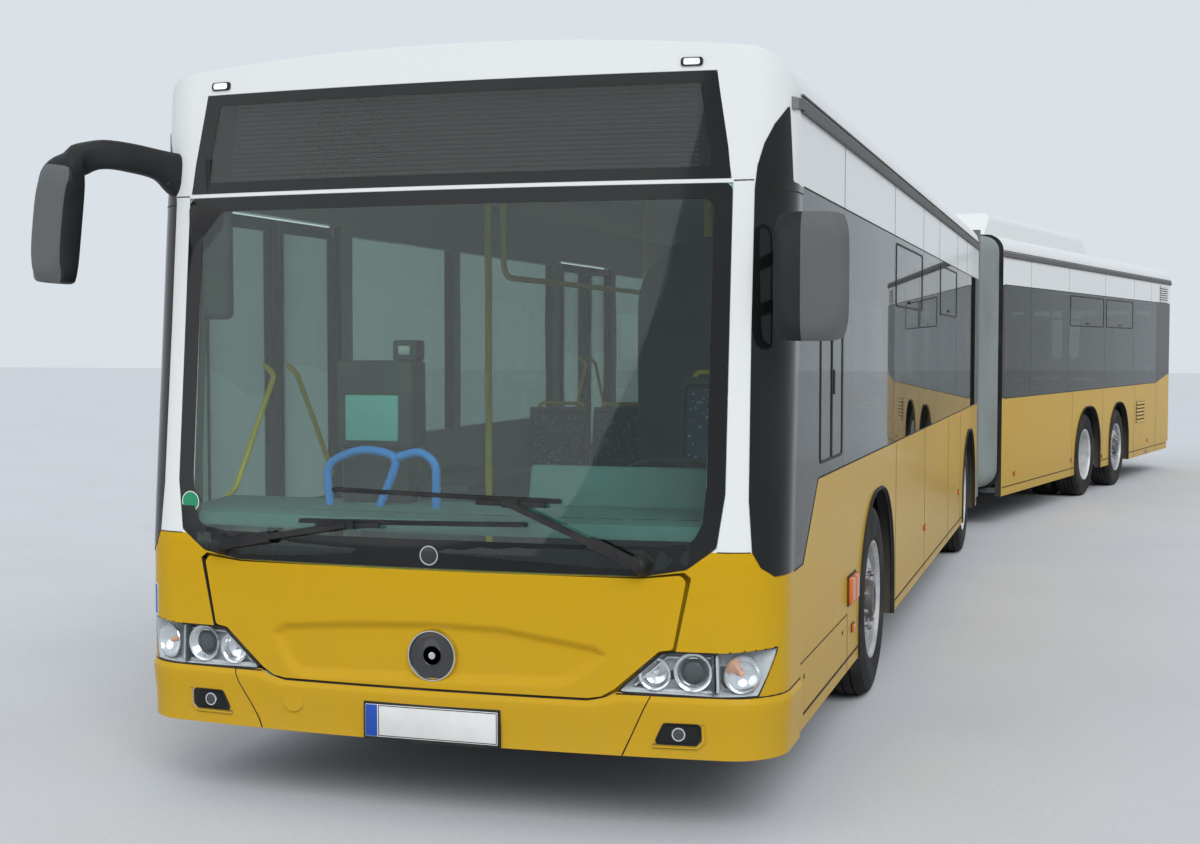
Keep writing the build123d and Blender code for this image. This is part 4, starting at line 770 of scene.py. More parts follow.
def bead(shape, path, surface, width, height, base=0.0, closed=False, step=0.05, finish=0):
    """Lay a raised strip along a line on a curved surface."""
    corners = [Vector(spot) for spot in path]
    ends = corners[1:] + corners[:1] if closed else corners[1:]
    spots = []
    for first, second in zip(corners, ends):
        pieces = max(1, math.ceil((second - first).length / step))
        spots += [first.lerp(second, number / pieces) for number in range(pieces)]
    if not closed:
        spots.append(corners[-1])
    rings = []
    last = len(spots) - 1
    for number, spot in enumerate(spots):
        before = spots[number - 1] if number or closed else spot
        after = spots[(number + 1) % len(spots)] if number < last or closed else spot
        coming = spot - before
        going = after - spot
        if coming.length < 1e-9:
            coming = going
        if going.length < 1e-9:
            going = coming
        coming.normalize()
        going.normalize()
        middle = (coming + going).normalized()
        aside = Vector((-middle.y, middle.x))
        reach = width / 2 / max(0.4, aside.dot(Vector((-coming.y, coming.x))))
        ring = []
        for share, lift in ((-1.0, base), (-0.75, base + height), (0.75, base + height), (1.0, base)):
            place = spot + aside * reach * share
            ring.append(shape.verts.new(surface(place.x, place.y, lift)))
        rings.append(ring)
    joined(shape, rings, finish, looped=closed, capped=not closed)


def mirrored(rows):
    """A half outline given from bottom to top on the +x side, made whole."""
    return [(x, z) for x, z in rows] + [(-x, z) for x, z in reversed(rows)]


gloss_black = aged_finish("black enamelled glass", (0.007, 0.008, 0.008), (0.022, 0.023, 0.023), 0.09,
                          stain_amount=0.25, patch_scale=2.0, grain_scale=40.0, spread=0.08, bump=0.02,
                          coat=0.15)
fed(gloss_black.node_tree, gloss_black.node_tree.nodes["Principled BSDF"], {"IOR": 1.3})
# Black sealant for the joints, which also serves as painted shade in the openings of the side grilles.
sealant_and_shade_black = aged_finish("joint sealant and painted shade", (0.016, 0.016, 0.016), (0.06, 0.05, 0.04), 0.7, stain_amount=0.5,
                         patch_scale=8.0, grain_scale=200.0, bump=0.2)
chrome = aged_finish("bright metal", (0.74, 0.75, 0.76), (0.40, 0.40, 0.38), 0.12, stain_amount=0.3,
                     patch_scale=20.0, grain_scale=200.0, spread=0.15, bump=0.03, metallic=1.0)

# Black border: enamel printed round the windscreen and its display pane, wide along the bottom edge. It
# hides the glue that holds both panes in the nose's opening.
windscreen_edge = mirrored([(0.799, 0.941), (0.950, 0.968), (1.053, 1.045), (1.079, 1.232), (1.079, 2.319)])
windscreen_clear = mirrored([(0.860, 1.045), (0.970, 1.062), (1.004, 1.130), (1.014, 1.260), (1.016, 2.266)])
display_edge = mirrored([(1.073, 2.337), (1.060, 2.450), (1.014, 2.718)])
display_clear = mirrored([(1.005, 2.378), (0.982, 2.520), (0.955, 2.677)])
borders = bmesh.new()
for edge, edge_round, clear, clear_round in ((windscreen_edge, 0.03, windscreen_clear, 0.05),
                                             (display_edge, 0.012, display_clear, 0.012)):
    skin(borders, softened(across(edge), edge_round), nose_point, 0.0006, 0.0005,
         hole=softened(across(clear), clear_round))
made("windscreen_black_border", borders, "front_section", "tinted_glass", gloss_black)

# Display behind its pane: a dark case with a flat field of fine slats, unlit. It is a moulded unit that is
# screwed into the header behind the upper pane.
display_case = aged_finish("display case", (0.018, 0.019, 0.020), (0.05, 0.05, 0.05), 0.6, bump=0.1)
slat_grey = aged_finish("display slats", (0.050, 0.052, 0.052), (0.07, 0.07, 0.07), 0.6, stain_amount=0.4,
                        patch_scale=1.5, grain_scale=60.0, grain_contrast=0.1, bump=0.0)
display = bmesh.new()
slat_count = 19
slat_pitch = 0.0179
slat_low_z = 2.374
skin(display, across(mirrored([(1.020, 2.350), (0.975, 2.708)])), nose_point, -0.058, 0.004)
for slat in range(slat_count):
    slat_z = slat_low_z + slat * slat_pitch
    shift = 0.02 * slat / slat_count
    bead(display, across([(-0.931 + shift, slat_z), (0.956 - shift, slat_z)]), nose_point, 0.0105, 0.004,
         base=-0.056, step=0.12, finish=1)
bead(display, across([(-0.945, 2.358), (0.970, 2.358), (0.945, 2.707), (-0.925, 2.707)]), nose_point,
     0.010, 0.010, base=-0.057, closed=True, step=0.12)
made("display_field", display, "front_section", "dark_plastic", display_case, slat_grey)

# Corner glass: black panes bonded round both front corners, from the white pillar to the side windows.
# They are bent toughened glass, enamelled black, and lie nearly flush with the nose.
corner_rows = [(1.240, 0.941), (1.200, 0.975), (1.172, 1.031), (1.158, 1.213), (1.153, 1.800), (1.153, 2.300),
               (1.160, 2.380), (1.180, 2.460), (1.210, 2.530), (1.238, 2.578)]
corner_backs = {1: ((0.333, 2.604), (0.338, 2.332), (0.470, 2.322), (0.470, 2.292), (0.404, 1.760),
                    (0.339, 1.235), (0.339, 0.944)),
                -1: ((0.333, 2.604), (0.338, 2.400), (0.508, 2.380), (0.508, 1.760), (0.508, 0.944))}
corners = bmesh.new()
for side, corner_back in corner_backs.items():
    outline = across(corner_rows, side) + [(s_at_y(y, z, side), z) for y, z in corner_back]
    skin(corners, softened(outline, 0.012, 3), nose_point, 0.0026, 0.0024, step=0.02, rise=0.2)
made("corner_black_glass", corners, "front_section", "tinted_glass", gloss_black)

# Front service flap: one pressed panel with a shallow recess across it, in the bumper's paint. It is hung
# on hinges under the windscreen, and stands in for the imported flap.
flap_outline = mirrored([(0.600, 0.500), (0.646, 0.508), (0.693, 0.535), (0.854, 0.677), (0.903, 0.684),
                         (0.948, 0.925), (0.930, 0.947), (0.790, 0.932)])
recess = [(-0.660, 0.668), (-0.612, 0.712), (-0.300, 0.736), (0.0, 0.749), (0.271, 0.744), (0.627, 0.691),
          (0.680, 0.655), (0.560, 0.560), (0.495, 0.532), (0.0, 0.520), (-0.536, 0.505), (-0.590, 0.540)]
recess_depth = 0.020
recess_edge = 0.036


def inside_depth(u, v, corners_of):
    """Distance from a spot inside an outline to its nearest edge, or 0 outside it."""
    spot = Vector((u, v))
    inside = False
    nearest = 9.0
    for first, second in zip(corners_of, corners_of[1:] + corners_of[:1]):
        start = Vector(first)
        run = Vector(second) - start
        share = min(1.0, max(0.0, (spot - start).dot(run) / run.length_squared))
        nearest = min(nearest, (spot - start - run * share).length)
        if (first[1] > v) != (second[1] > v) and u < first[0] + (v - first[1]) * run.x / run.y:
            inside = not inside
    return nearest if inside else 0.0


def pressed(s, z, lift=0.0):
    """The nose's surface with the flap's recess pressed into it."""
    return nose_point(s, z, lift - recess_depth * eased(inside_depth(s, z, recess) / recess_edge))


flap = bmesh.new()
skin(flap, softened(across(flap_outline), 0.02), pressed, 0.0, 0.012, step=0.0125, rise=0.0085)
flap_panel = made("front_flap_panel", flap, "front_flap", "yellow_paint", low_nose_paint, sharp=40)
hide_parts("front_flap")

# Bumper ledge: the moulded bumper's top edge swells out in a soft step under the flap and the headlamps,
# and runs back to its face lower down. It is one skin in the bumper's paint.
ledge_depth = 0.010
ledge_slope = 0.022
ledge_foot = 0.160
ledge_high = 0.5195
ledge_low = 0.4925
ledge_turn = (s_at_x(0.610), s_at_x(0.715))


def ledge_top(s):
    """Height of the bumper's top edge, which drops under the flap."""
    share = (abs(s) - ledge_turn[0]) / (ledge_turn[1] - ledge_turn[0])
    return ledge_low + (ledge_high - ledge_low) * min(1.0, max(0.0, share))


def ledge_point(s, z, lift=0.0):
    """The nose's surface with the bumper's ledge on it."""
    drop = ledge_top(s) - z
    share = drop / ledge_slope if drop < ledge_slope else (ledge_foot - drop) / (ledge_foot - ledge_slope)
    return nose_point(s, z, lift + ledge_depth * eased(share))


ledge = bmesh.new()
ledge_half = [*ledge_turn, s_at_y(0.470, 0.51)]
ledge_rows = [-s for s in reversed(ledge_half)] + ledge_half
ledge_outline = [(s, ledge_top(s)) for s in ledge_rows]
ledge_outline += [(s, ledge_top(s) - ledge_foot) for s in reversed(ledge_rows)]
skin(ledge, ledge_outline, ledge_point, 0.0007, 0.002, step=0.03, rise=0.005)
made("bumper_ledge", ledge, "front_section", "yellow_paint", low_nose_paint)

# Joints of the nose: dark sealant in the gaps under the flap, down the bumper, along its ledge and across
# the pillars. A round cap in the bumper's paint closes the towing recess.
seam_height = 0.0016
joints_dark = bmesh.new()
for bumper_joint in ([(-0.817, 0.520), (-0.795, 0.470), (-0.714, 0.339), (-0.700, 0.302)],
                     [(0.824, 0.517), (0.800, 0.470), (0.731, 0.320), (0.722, 0.302)]):
    bead(joints_dark, across(bumper_joint), ledge_point, 0.005, seam_height, step=0.01)
for side in (1, -1):
    under_lamp = across([(0.700, 0.5205), (1.063, 0.5205), (1.2, 0.5215)], side)
    under_lamp.append((s_at_y(0.478, 0.52, side), 0.522))
    bead(joints_dark, under_lamp, nose_point, 0.006, seam_height)
bead(joints_dark, across([(-0.600, 0.4935), (0.600, 0.4935)]), nose_point, 0.006, seam_height)
for side in (1, -1):
    bead(joints_dark, across([(1.056, nose_border_z), (1.168, nose_border_z)], side), nose_point, 0.004,
         seam_height)
    bead(joints_dark, across([(1.083, 2.328), (1.150, 2.330)], side), nose_point, 0.005, seam_height)
    bead(joints_dark, [(side * s_at_x(1.154), 2.298), (s_at_y(0.468, 2.298, side), 2.298)], nose_point,
         0.006, 0.004)
made("nose_joints", joints_dark, "front_section", "dark_plastic", sealant_and_shade_black)


def facing_out(s, z, lift=0.0, surface=nose_point):
    """Place on the nose whose x axis points straight out of it and whose z axis leans with it."""
    spot = surface(s, z, lift)
    out = (surface(s, z, lift + 0.1) - spot).normalized()
    up = (surface(s, z + 0.05, lift) - surface(s, z - 0.05, lift)).normalized()
    aside = up.cross(out).normalized()
    up = out.cross(aside)
    axes = Matrix((out, aside, up)).transposed()
    return Matrix.Translation(spot) @ axes.to_4x4()


towing_cap = bmesh.new()
turned(towing_cap, ((-0.0005, 0.0), (-0.0005, 0.0450), (0.0012, 0.0450), (0.0026, 0.0430), (0.0026, 0.0)), 40,
       facing_out(s_at_x(-0.560), 0.420, 0.0, ledge_point), closed=False)
made("towing_cap", towing_cap, "front_section", "yellow_paint", low_nose_paint)

# Badges: a bright ring round a plain dark disc on the flap, and a small plain one under the windscreen.
# Both are pressed metal with enamel in the middle, clipped on.
badge_face = aged_finish("badge enamel", (0.03, 0.03, 0.032), (0.10, 0.10, 0.10), 0.25, bump=0.05, coat=0.5)
badge = bmesh.new()
badge_place = facing_out(s_at_x(0.006), 0.620, 0.0, pressed)
turned(badge, ((0.0, 0.0), (0.0, 0.090), (0.010, 0.090), (0.014, 0.070), (0.011, 0.0)), 64, badge_place,
       closed=False)
turned(badge,
       ((0.002, 0.086), (0.002, 0.096), (0.014, 0.0955), (0.021, 0.0925), (0.021, 0.0885), (0.014, 0.086)),
       64, badge_place, finish=1)
turned(badge, ((0.011, 0.0), (0.011, 0.016), (0.0165, 0.013), (0.018, 0.0)), 32, badge_place, closed=False,
       finish=1)
made("flap_badge", badge, "front_flap", "aluminium", badge_face, chrome)
small_badge = bmesh.new()
small_place = facing_out(s_at_x(0.0), 0.988, 0.0006)
turned(small_badge, ((0.0, 0.0), (0.0, 0.034), (0.0025, 0.034), (0.0035, 0.030), (0.0030, 0.0)), 40,
       small_place, closed=False)
turned(small_badge, ((0.001, 0.0315), (0.001, 0.036), (0.0045, 0.036), (0.0045, 0.0315)), 40, small_place,
       finish=1)
made("windscreen_badge", small_badge, "front_section", "aluminium", badge_face, chrome)

# Headlamps: dark cases set through the nose with bright bowls, a grey divider, the turn lamp round the
# corner, and one clear moulded lens over all of it in a black gasket.
lamp_rows = [(0.702, 0.527), (0.862, 0.668), (0.913, 0.676), (1.055, 0.676), (1.150, 0.686), (1.252, 0.692),
             (1.195, 0.525), (1.063, 0.521)]


def lamp_lens(name, colour, clearness, bending):
    """Moulded lamp lens with fine flutes and dust, that lets daylight through."""
    material, tree, shader = new_material(name)
    surface = aged(tree,
                   {"Colour": (*colour, 1.0), "Stain": (*(0.85 * share for share in colour), 1.0),
                    "Stain Amount": 0.4, "Patch Scale": 8.0, "Roughness": 0.03, "Roughness Spread": 0.05})
    fed(tree, shader, {"Transmission Weight": clearness, "Metallic": 0.0, "IOR": bending,
                       "Base Color": surface["Colour"], "Roughness": surface["Roughness"],
                       "Normal": relief(tree, surface["Height"], 0.05, 0.002)})
    shone_through(tree, shader, (*colour, 1.0))
    return material


lens_clear = lamp_lens("moulded lens", (0.93, 0.95, 0.96), 1.0, 1.2)
lamp_silver = aged_finish("lamp reflector", (0.80, 0.81, 0.82), (0.55, 0.56, 0.57), 0.14, stain_amount=0.3,
                          patch_scale=15.0, grain_scale=100.0, bump=0.03, metallic=0.95)
lamp_grey = aged_finish("lamp bezel", (0.50, 0.52, 0.53), (0.32, 0.33, 0.34), 0.4, bump=0.05)
projector_grey = aged_finish("projector glass", (0.060, 0.066, 0.068), (0.11, 0.11, 0.11), 0.08, bump=0.02)
turn_bulb = aged_finish("tinted bulb", (0.66, 0.33, 0.20), (0.50, 0.26, 0.16), 0.2, bump=0.02)


def basin(shape, outline, surface, top, bottom, shrink, finish=0):
    """Add a shallow case: walls from an outline down to a smaller one, and the floor between."""
    middle = sum((Vector(spot) for spot in outline), Vector((0, 0))) / len(outline)
    rims = []
    for lift, scale in ((top, 1.0), ((top + bottom) / 2, 1.0 - shrink * 0.35), (bottom, 1.0 - shrink)):
        ring = []
        for spot in outline:
            place = middle + (Vector(spot) - middle) * scale
            ring.append(shape.verts.new(surface(place.x, place.y, lift)))
        rims.append(ring)
    joined(shape, rims, finish)
    centre = shape.verts.new(surface(middle.x, middle.y, bottom))
    floor_ring = rims[-1]
    for first, second in zip(floor_ring, floor_ring[1:] + floor_ring[:1]):
        shape.faces.new((first, second, centre)).material_index = finish


for side_name, side in (("left", 1), ("right", -1)):
    outline = softened(across(lamp_rows, side), 0.012, 4)
    dense = []
    for first, second in zip(outline, outline[1:] + outline[:1]):
        pieces = max(1, math.ceil((Vector(second) - Vector(first)).length / 0.03))
        dense += [tuple(Vector(first).lerp(Vector(second), number / pieces)) for number in range(pieces)]
    lamp = bmesh.new()
    basin(lamp, dense, nose_point, -0.003, -0.060, 0.16, finish=0)
    for lamp_x, lamp_z, bowl_radius in ((0.835, 0.594, 0.052), (0.972, 0.604, 0.062)):
        bowl = facing_out(s_at_x(side * lamp_x), lamp_z, -0.062)
        turned(lamp,
               ((0.006, 0.0), (0.008, 0.020), (0.018, 0.040), (0.036, bowl_radius * 0.88),
                (0.044, bowl_radius), (0.046, bowl_radius + 0.006), (0.040, bowl_radius + 0.008),
                (0.0, bowl_radius * 0.8)), 40, bowl, closed=False, finish=1)
        bulb_radius, bulb_finish = (0.011, 2) if lamp_x < 0.9 else (0.036, 4)
        turned(lamp,
               ((0.006, bulb_radius), (0.030, bulb_radius), (0.036, bulb_radius * 0.73), (0.040, 0.0)), 28,
               bowl, closed=False, finish=bulb_finish)
    turn_place = facing_out(s_at_x(side * 1.150), 0.600, -0.060)
    turned(lamp, ((0.004, 0.0), (0.008, 0.030), (0.022, 0.055), (0.040, 0.066), (0.036, 0.068)), 36,
           turn_place, closed=False, finish=1)
    turned(lamp, ((0.006, 0.009), (0.022, 0.010), (0.032, 0.007), (0.036, 0.0)), 20, turn_place,
           closed=False, finish=3)
    for line, wide, high, base, finish in (
            ([(1.046, 0.530), (1.042, 0.668)], 0.010, 0.052, -0.055, 4),
            ([(1.060, 0.534), (1.056, 0.668)], 0.012, 0.040, -0.055, 2),
            ([(0.760, 0.545), (0.880, 0.652), (1.035, 0.655)], 0.008, 0.020, -0.050, 2),
            ([(0.730, 0.535), (1.045, 0.533)], 0.012, 0.022, -0.050, 2)):
        bead(lamp, across(line, side), nose_point, wide, high, base=base, finish=finish)
    made(f"headlamp_{side_name}", lamp, "front_section", "lamp_glass", lamp_grey, lamp_silver, lamp_grey,
         turn_bulb, projector_grey)
    lens = bmesh.new()
    skin(lens, outline, nose_point, 0.0012, 0.0035, step=0.03)
    lens_piece = made(f"headlamp_{side_name}_lens", lens, "front_section", "lamp_glass", lens_clear)
    gasket = bmesh.new()
    bead(gasket, outline, nose_point, 0.007, 0.0022, base=-0.002, closed=True)
    made(f"headlamp_{side_name}_gasket", gasket, "front_section", "dark_plastic", sealant_and_shade_black)
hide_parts("headlamps")

# Fog lamps: a small dark lamp with a silver ring in a black well on each side, low in the bumper, over a
# moulded lip in the bumper's paint.
fog = bmesh.new()
for side, low_z, high_z in ((1, 0.352, 0.424), (-1, 0.358, 0.430)):
    well = softened(across([(0.838, low_z), (0.985, low_z), (1.003, low_z + 0.020), (1.000, high_z),
                            (0.872, high_z)], side), 0.014)
    middle = Vector((side * s_at_x(0.932), (low_z + high_z) / 2))
    inner = [tuple(middle.lerp(Vector(spot), 0.84)) for spot in well]
    skin(fog, well, ledge_point, 0.0012, 0.0015, step=0.03)
    bead(fog, well, ledge_point, 0.006, 0.0045, closed=True)
    skin(fog, inner, ledge_point, 0.0040, 0.0030, step=0.03, finish=1)
    bowl_place = facing_out(side * s_at_x(0.925), middle.y, 0.0035, ledge_point)
    turned(fog, ((0.0, 0.0), (0.0, 0.026), (0.0040, 0.024), (0.0045, 0.0)), 36, bowl_place, closed=False,
           finish=3)
    turned(fog, ((0.0, 0.0), (0.0, 0.022), (0.0055, 0.019), (0.0080, 0.0)), 32, bowl_place, closed=False,
           finish=4)
    lip = across([(0.832, low_z - 0.010), (0.990, low_z - 0.010), (1.013, low_z + 0.012), (1.011, high_z)],
                 side)
    for lip_width, lip_height in ((0.016, 0.004), (0.009, 0.008)):
        bead(fog, lip, ledge_point, lip_width, lip_height, finish=2)
made("fog_lamps", fog, "front_section", "lamp_glass", sealant_and_shade_black, gloss_black, low_nose_paint, lamp_silver,
     projector_grey)

# Number plate: a blank white plate with a plain blue end, in a dark moulded frame on the bumper. It is
# enamelled sheet with a thin dark line round its edge, clipped into the frame.
plate_white = aged_finish("plate enamel", (0.72, 0.73, 0.72), (0.50, 0.48, 0.42), 0.35, stain_amount=0.3,
                          patch_scale=6.0, grain_scale=150.0, bump=0.04)
plate_blue = aged_finish("plate blue end", (0.02, 0.08, 0.42), (0.03, 0.07, 0.28), 0.35, bump=0.04)
# Black moulding for frames and trims, which also serves as painted shade in the engine cover's slots.
black_moulding_and_shade = aged_finish("black moulding and painted shade", (0.022, 0.022, 0.023), (0.07, 0.066, 0.06), 0.55,
                          stain_amount=0.4, patch_scale=6.0, grain_scale=250.0, bump=0.2)
plate = bmesh.new()
for low, high, bevel, finish in (
        ((-0.262, -0.0110, 0.298), (0.276, 0.0045, 0.440), 0.004, 1),
        ((-0.253, -0.0135, 0.311), (0.267, -0.0090, 0.431), 0.002, 0),
        ((-0.2515, -0.0142, 0.3125), (-0.205, -0.0120, 0.4295), 0.001, 2),
        ((-0.198, -0.0142, 0.3145), (0.2645, -0.0120, 0.3175), 0.0004, 1),
        ((-0.198, -0.0142, 0.4255), (0.2645, -0.0120, 0.4285), 0.0004, 1),
        ((-0.201, -0.0142, 0.3145), (-0.198, -0.0120, 0.4285), 0.0004, 1),
        ((0.2615, -0.0142, 0.3145), (0.2645, -0.0120, 0.4285), 0.0004, 1)):
    block(plate, low, high, bevel, finish=finish)
made("blank_plate", plate, "front_section", "dark_plastic", plate_white, black_moulding_and_shade, plate_blue)

# Stickers without print: a green disc in the windscreen's lower corner and a blue square on the nose, each
# with a white edge. They are plastic film, stuck on the glass and on the paint.
sticker_green = aged_finish("green sticker", (0.03, 0.27, 0.13), (0.05, 0.33, 0.18), 0.45, bump=0.03)
sticker_blue = aged_finish("blue sticker", (0.03, 0.14, 0.45), (0.05, 0.18, 0.46), 0.4, bump=0.03)
sticker_edge = aged_finish("white sticker edge", (0.70, 0.72, 0.74), (0.5, 0.5, 0.5), 0.4, bump=0.03)


def oblong(low_u, low_v, high_u, high_v):
    """Outline of a rectangle between two corners."""
    return [(low_u, low_v), (high_u, low_v), (high_u, high_v), (low_u, high_v)]


stickers = bmesh.new()
disc_place = facing_out(s_at_x(-1.022), 1.150, 0.0012)
for radius, thick, finish in ((0.040, 0.0006, 2), (0.036, 0.0009, 0)):
    turned(stickers, ((0.0, 0.0), (0.0, radius), (thick, radius), (thick, 0.0)), 40, disc_place, closed=False,
           finish=finish)
for low_s, high_s, low_z, high_z, corner, lift, finish in (
        (-1.345, -1.215, 0.690, 0.818, 0.008, 0.0010, 2), (-1.338, -1.222, 0.697, 0.811, 0.006, 0.0014, 1)):
    square = oblong(low_s, low_z, high_s, high_z)
    skin(stickers, softened(square, corner), nose_point, lift, 0.0009, step=0.02, finish=finish)
made("blank_stickers", stickers, "front_section", "white_paint", sticker_green, sticker_blue, sticker_edge)

# Roof rail: a dark grey extrusion along each side where the wall meets the roof, with a thin lip over and
# under it. On the left it ends in a lighter cap that turns in at the front corner.
shoulder_radius = 0.16
shoulder_x = half_width - shoulder_radius
shoulder_rise = 0.0514
section_ends = {"front": (0.43, 9.395), "rear": (10.875, 19.46)}


def side_face(side):
    """Surface of one side wall, measured along the vehicle and up."""
    def place(y, z, lift=0.0):
        return Vector((side * (half_width + lift), y, z))
    return place


def roof_edge(side):
    """Surface over the wall's top edge, measured along the vehicle and up round the roof's shoulder."""
    def place(y, up, lift=0.0):
        turn = max(0.0, up - shoulder_rise) / shoulder_radius
        reach = shoulder_radius + lift
        return Vector((side * (shoulder_x + reach * math.cos(turn)), y,
                       wall_top_z + min(shoulder_rise, up) + reach * math.sin(turn)))
    return place


rail_grey = aged_finish("rail extrusion", (0.135, 0.130, 0.126), (0.19, 0.18, 0.17), 0.7, stain_amount=0.4,
                        patch_scale=2.0, grain_scale=120.0, bump=0.1)
cap_grey = aged_finish("rail end cap", (0.20, 0.21, 0.22), (0.28, 0.28, 0.28), 0.5, bump=0.1)
rail_z = 2.612
rail_up = 0.024
right_rail_start = 0.620
for end, (start_y, end_y) in section_ends.items():
    rail = bmesh.new()
    for side in (1, -1):
        surface = roof_edge(side)
        rail_start = start_y
        if end == "front" and side == -1:
            rail_start = right_rail_start
        elif end == "front":
            turn_in = [(s_at_y(y, rail_z), rail_z + (y - 0.345) * 0.06) for y in (0.345, 0.372, 0.42, 0.475)]
            bead(rail, turn_in, nose_point, 0.050, 0.018, base=-0.008, step=1.0)
            bead(rail, turn_in[:2], nose_point, 0.052, 0.020, base=-0.008, step=1.0, finish=1)
        for up, wide, high, base in ((rail_up, 0.052, 0.014, -0.008), (0.056, 0.007, 0.018, -0.008),
                                     (-0.004, 0.006, 0.018, -0.006)):
            bead(rail, [(rail_start, up), (end_y, up)], surface, wide, high, base=base, step=0.25)
        if end == "rear":
            bead(rail, [(end_y, rail_up), (end_y + 0.05, 0.012)], surface, 0.030, 0.010, base=-0.008,
                 step=0.02)
    made(f"{end}_roof_rails", rail, f"{end}_section", "dark_plastic", rail_grey, cap_grey)

# Joints of the side panels: dark seams up the white band, at the glass's borders and in the yellow skirt,
# and the dark trim line above the skirt's bottom strip.
window_seams = {("front", 1): (1.495, 3.25, 4.70, 5.74, 7.17, 8.10),
                ("front", -1): (1.84, 3.25, 5.01, 6.40, 7.80),
                ("rear", 1): (11.89, 13.483, 15.276, 16.952, 18.074, 18.641),
                ("rear", -1): (11.415, 12.735, 14.0, 15.276, 16.952, 18.074, 18.641)}
door_y = {"front": 0.520, "middle": 5.080, "rear": 11.450}
door_width = 1.25
even_arch = (0.710, 0.555, 0.600, 0.500)
arch_shapes = {("front", 2.705): even_arch, ("front", 8.550): even_arch, ("rear", 14.540): even_arch,
               ("rear", 16.140): (0.555, 0.555, 0.500, 0.500)}
arch_top_z = 1.036
skirt_bottom_z = {"front": 0.320, "rear": 0.292}


def free_runs(end, side, start_y, end_y, z):
    """Stretches of a side at a height between the wheel arches and, on the right, the doorways."""
    gaps = []
    for (owner, axle_at), (ahead, behind, *_) in arch_shapes.items():
        if owner == end and z < arch_top_z:
            gaps.append((axle_at - ahead - 0.02, axle_at + behind + 0.02))
    if side < 0 and z < glass_top_z + 0.01:
        gaps += [(near - 0.01, near + door_width + 0.01) for near in door_y.values()]
    runs = []
    at = start_y
    for near, far in sorted(gaps):
        if far < at or near > end_y:
            continue
        if near > at:
            runs.append((at, near))
        at = max(at, far)
    if at < end_y:
        runs.append((at, end_y))
    return runs


def arch_line(end, axle_at):
    """Outline of one wheel arch, from the skirt's bottom edge over the wheel and down again."""
    ahead, behind, front_round, rear_round = arch_shapes[(end, axle_at)]
    bottom = skirt_bottom_z[end]
    line = [(axle_at - ahead, bottom)]
    turns = [math.pi / 2 * step / 12 for step in range(13)]
    line += [(axle_at - ahead + front_round * (1 - math.cos(angle)),
              arch_top_z - front_round * (1 - math.sin(angle))) for angle in turns]
    line += [(axle_at + behind - rear_round * (1 - math.sin(angle)),
              arch_top_z - rear_round * (1 - math.cos(angle))) for angle in turns]
    line.append((axle_at + behind, bottom))
    return line


top_seam_ends = {"front": (0.50, 9.36), "rear": (10.93, 19.29)}
belt_seam_ends = {("front", 1): (0.860, 9.36), ("front", -1): (0.43, 9.36), ("rear", 1): (10.93, 18.47),
                  ("rear", -1): (10.93, 18.47)}
trim_ends = {"front": (0.55, 9.37), "rear": (10.90, 19.20)}
trim_z = 0.372
low_seams = {"front": (3.39, 4.90, 6.55, 7.60), "rear": (13.70, 15.22, 17.05, 18.49)}
for end in section_ends:
    seams = bmesh.new()
    for side in (1, -1):
        surface = side_face(side)
        for seam_y in window_seams[(end, side)]:
            bead(seams, [(seam_y, glass_top_z), (seam_y, wall_top_z - 0.006)], surface, 0.006, 0.0009,
                 step=0.2)
        for ends, gap_z, line_z, wide, high in (
                (top_seam_ends[end], glass_top_z, glass_top_z + 0.003, 0.007, 0.0012),
                (belt_seam_ends[(end, side)], belt_z, belt_z - 0.003, 0.007, 0.0012),
                (trim_ends[end], trim_z, trim_z, 0.010, 0.0022)):
            for near, far in free_runs(end, side, *ends, gap_z):
                bead(seams, [(near, line_z), (far, line_z)], surface, wide, high, step=0.2)
        for seam_y in low_seams[end]:
            bead(seams, [(seam_y, skirt_bottom_z[end] + 0.004), (seam_y, belt_z - 0.006)], surface, 0.005,
                 0.0009, step=0.2)
    if end == "front":
        bead(seams, [(s_at_y(0.485, 0.57), 0.571), (s_at_y(1.645, 0.57), 0.573)], nose_point, 0.005, 0.0014,
             step=0.2)
        bead(seams, [(1.645, 0.573), (1.645, skirt_bottom_z[end])], side_face(1), 0.005, 0.0010, step=0.2)
        for hole_y in (0.56, 1.51):
            turned(seams, ((0.0, 0.0), (0.0, 0.010), (0.0015, 0.010), (0.0008, 0.0)), 16,
                   Matrix.Translation((half_width, hole_y, 0.512)), closed=False)
        driver_glass = [(0.345, 0.937), (0.530, 0.939), (0.860, 1.232)]
        bead(seams, driver_glass, side_face(1), 0.006, 0.0012, step=0.1)
    made(f"{end}_side_seams", seams, f"{end}_section", "dark_plastic", sealant_and_shade_black)

    lips = bmesh.new()
    for owner, axle_at in arch_shapes:
        if owner == end:
            for side in (1, -1):
                for wide, high, base in ((0.020, 0.006, -0.004), (0.008, 0.010, 0.002)):
                    bead(lips, arch_line(end, axle_at), side_face(side), wide, high, base=base, step=0.06)
    made(f"{end}_arch_lips", lips, f"{end}_section", "dark_plastic", black_moulding_and_shade)

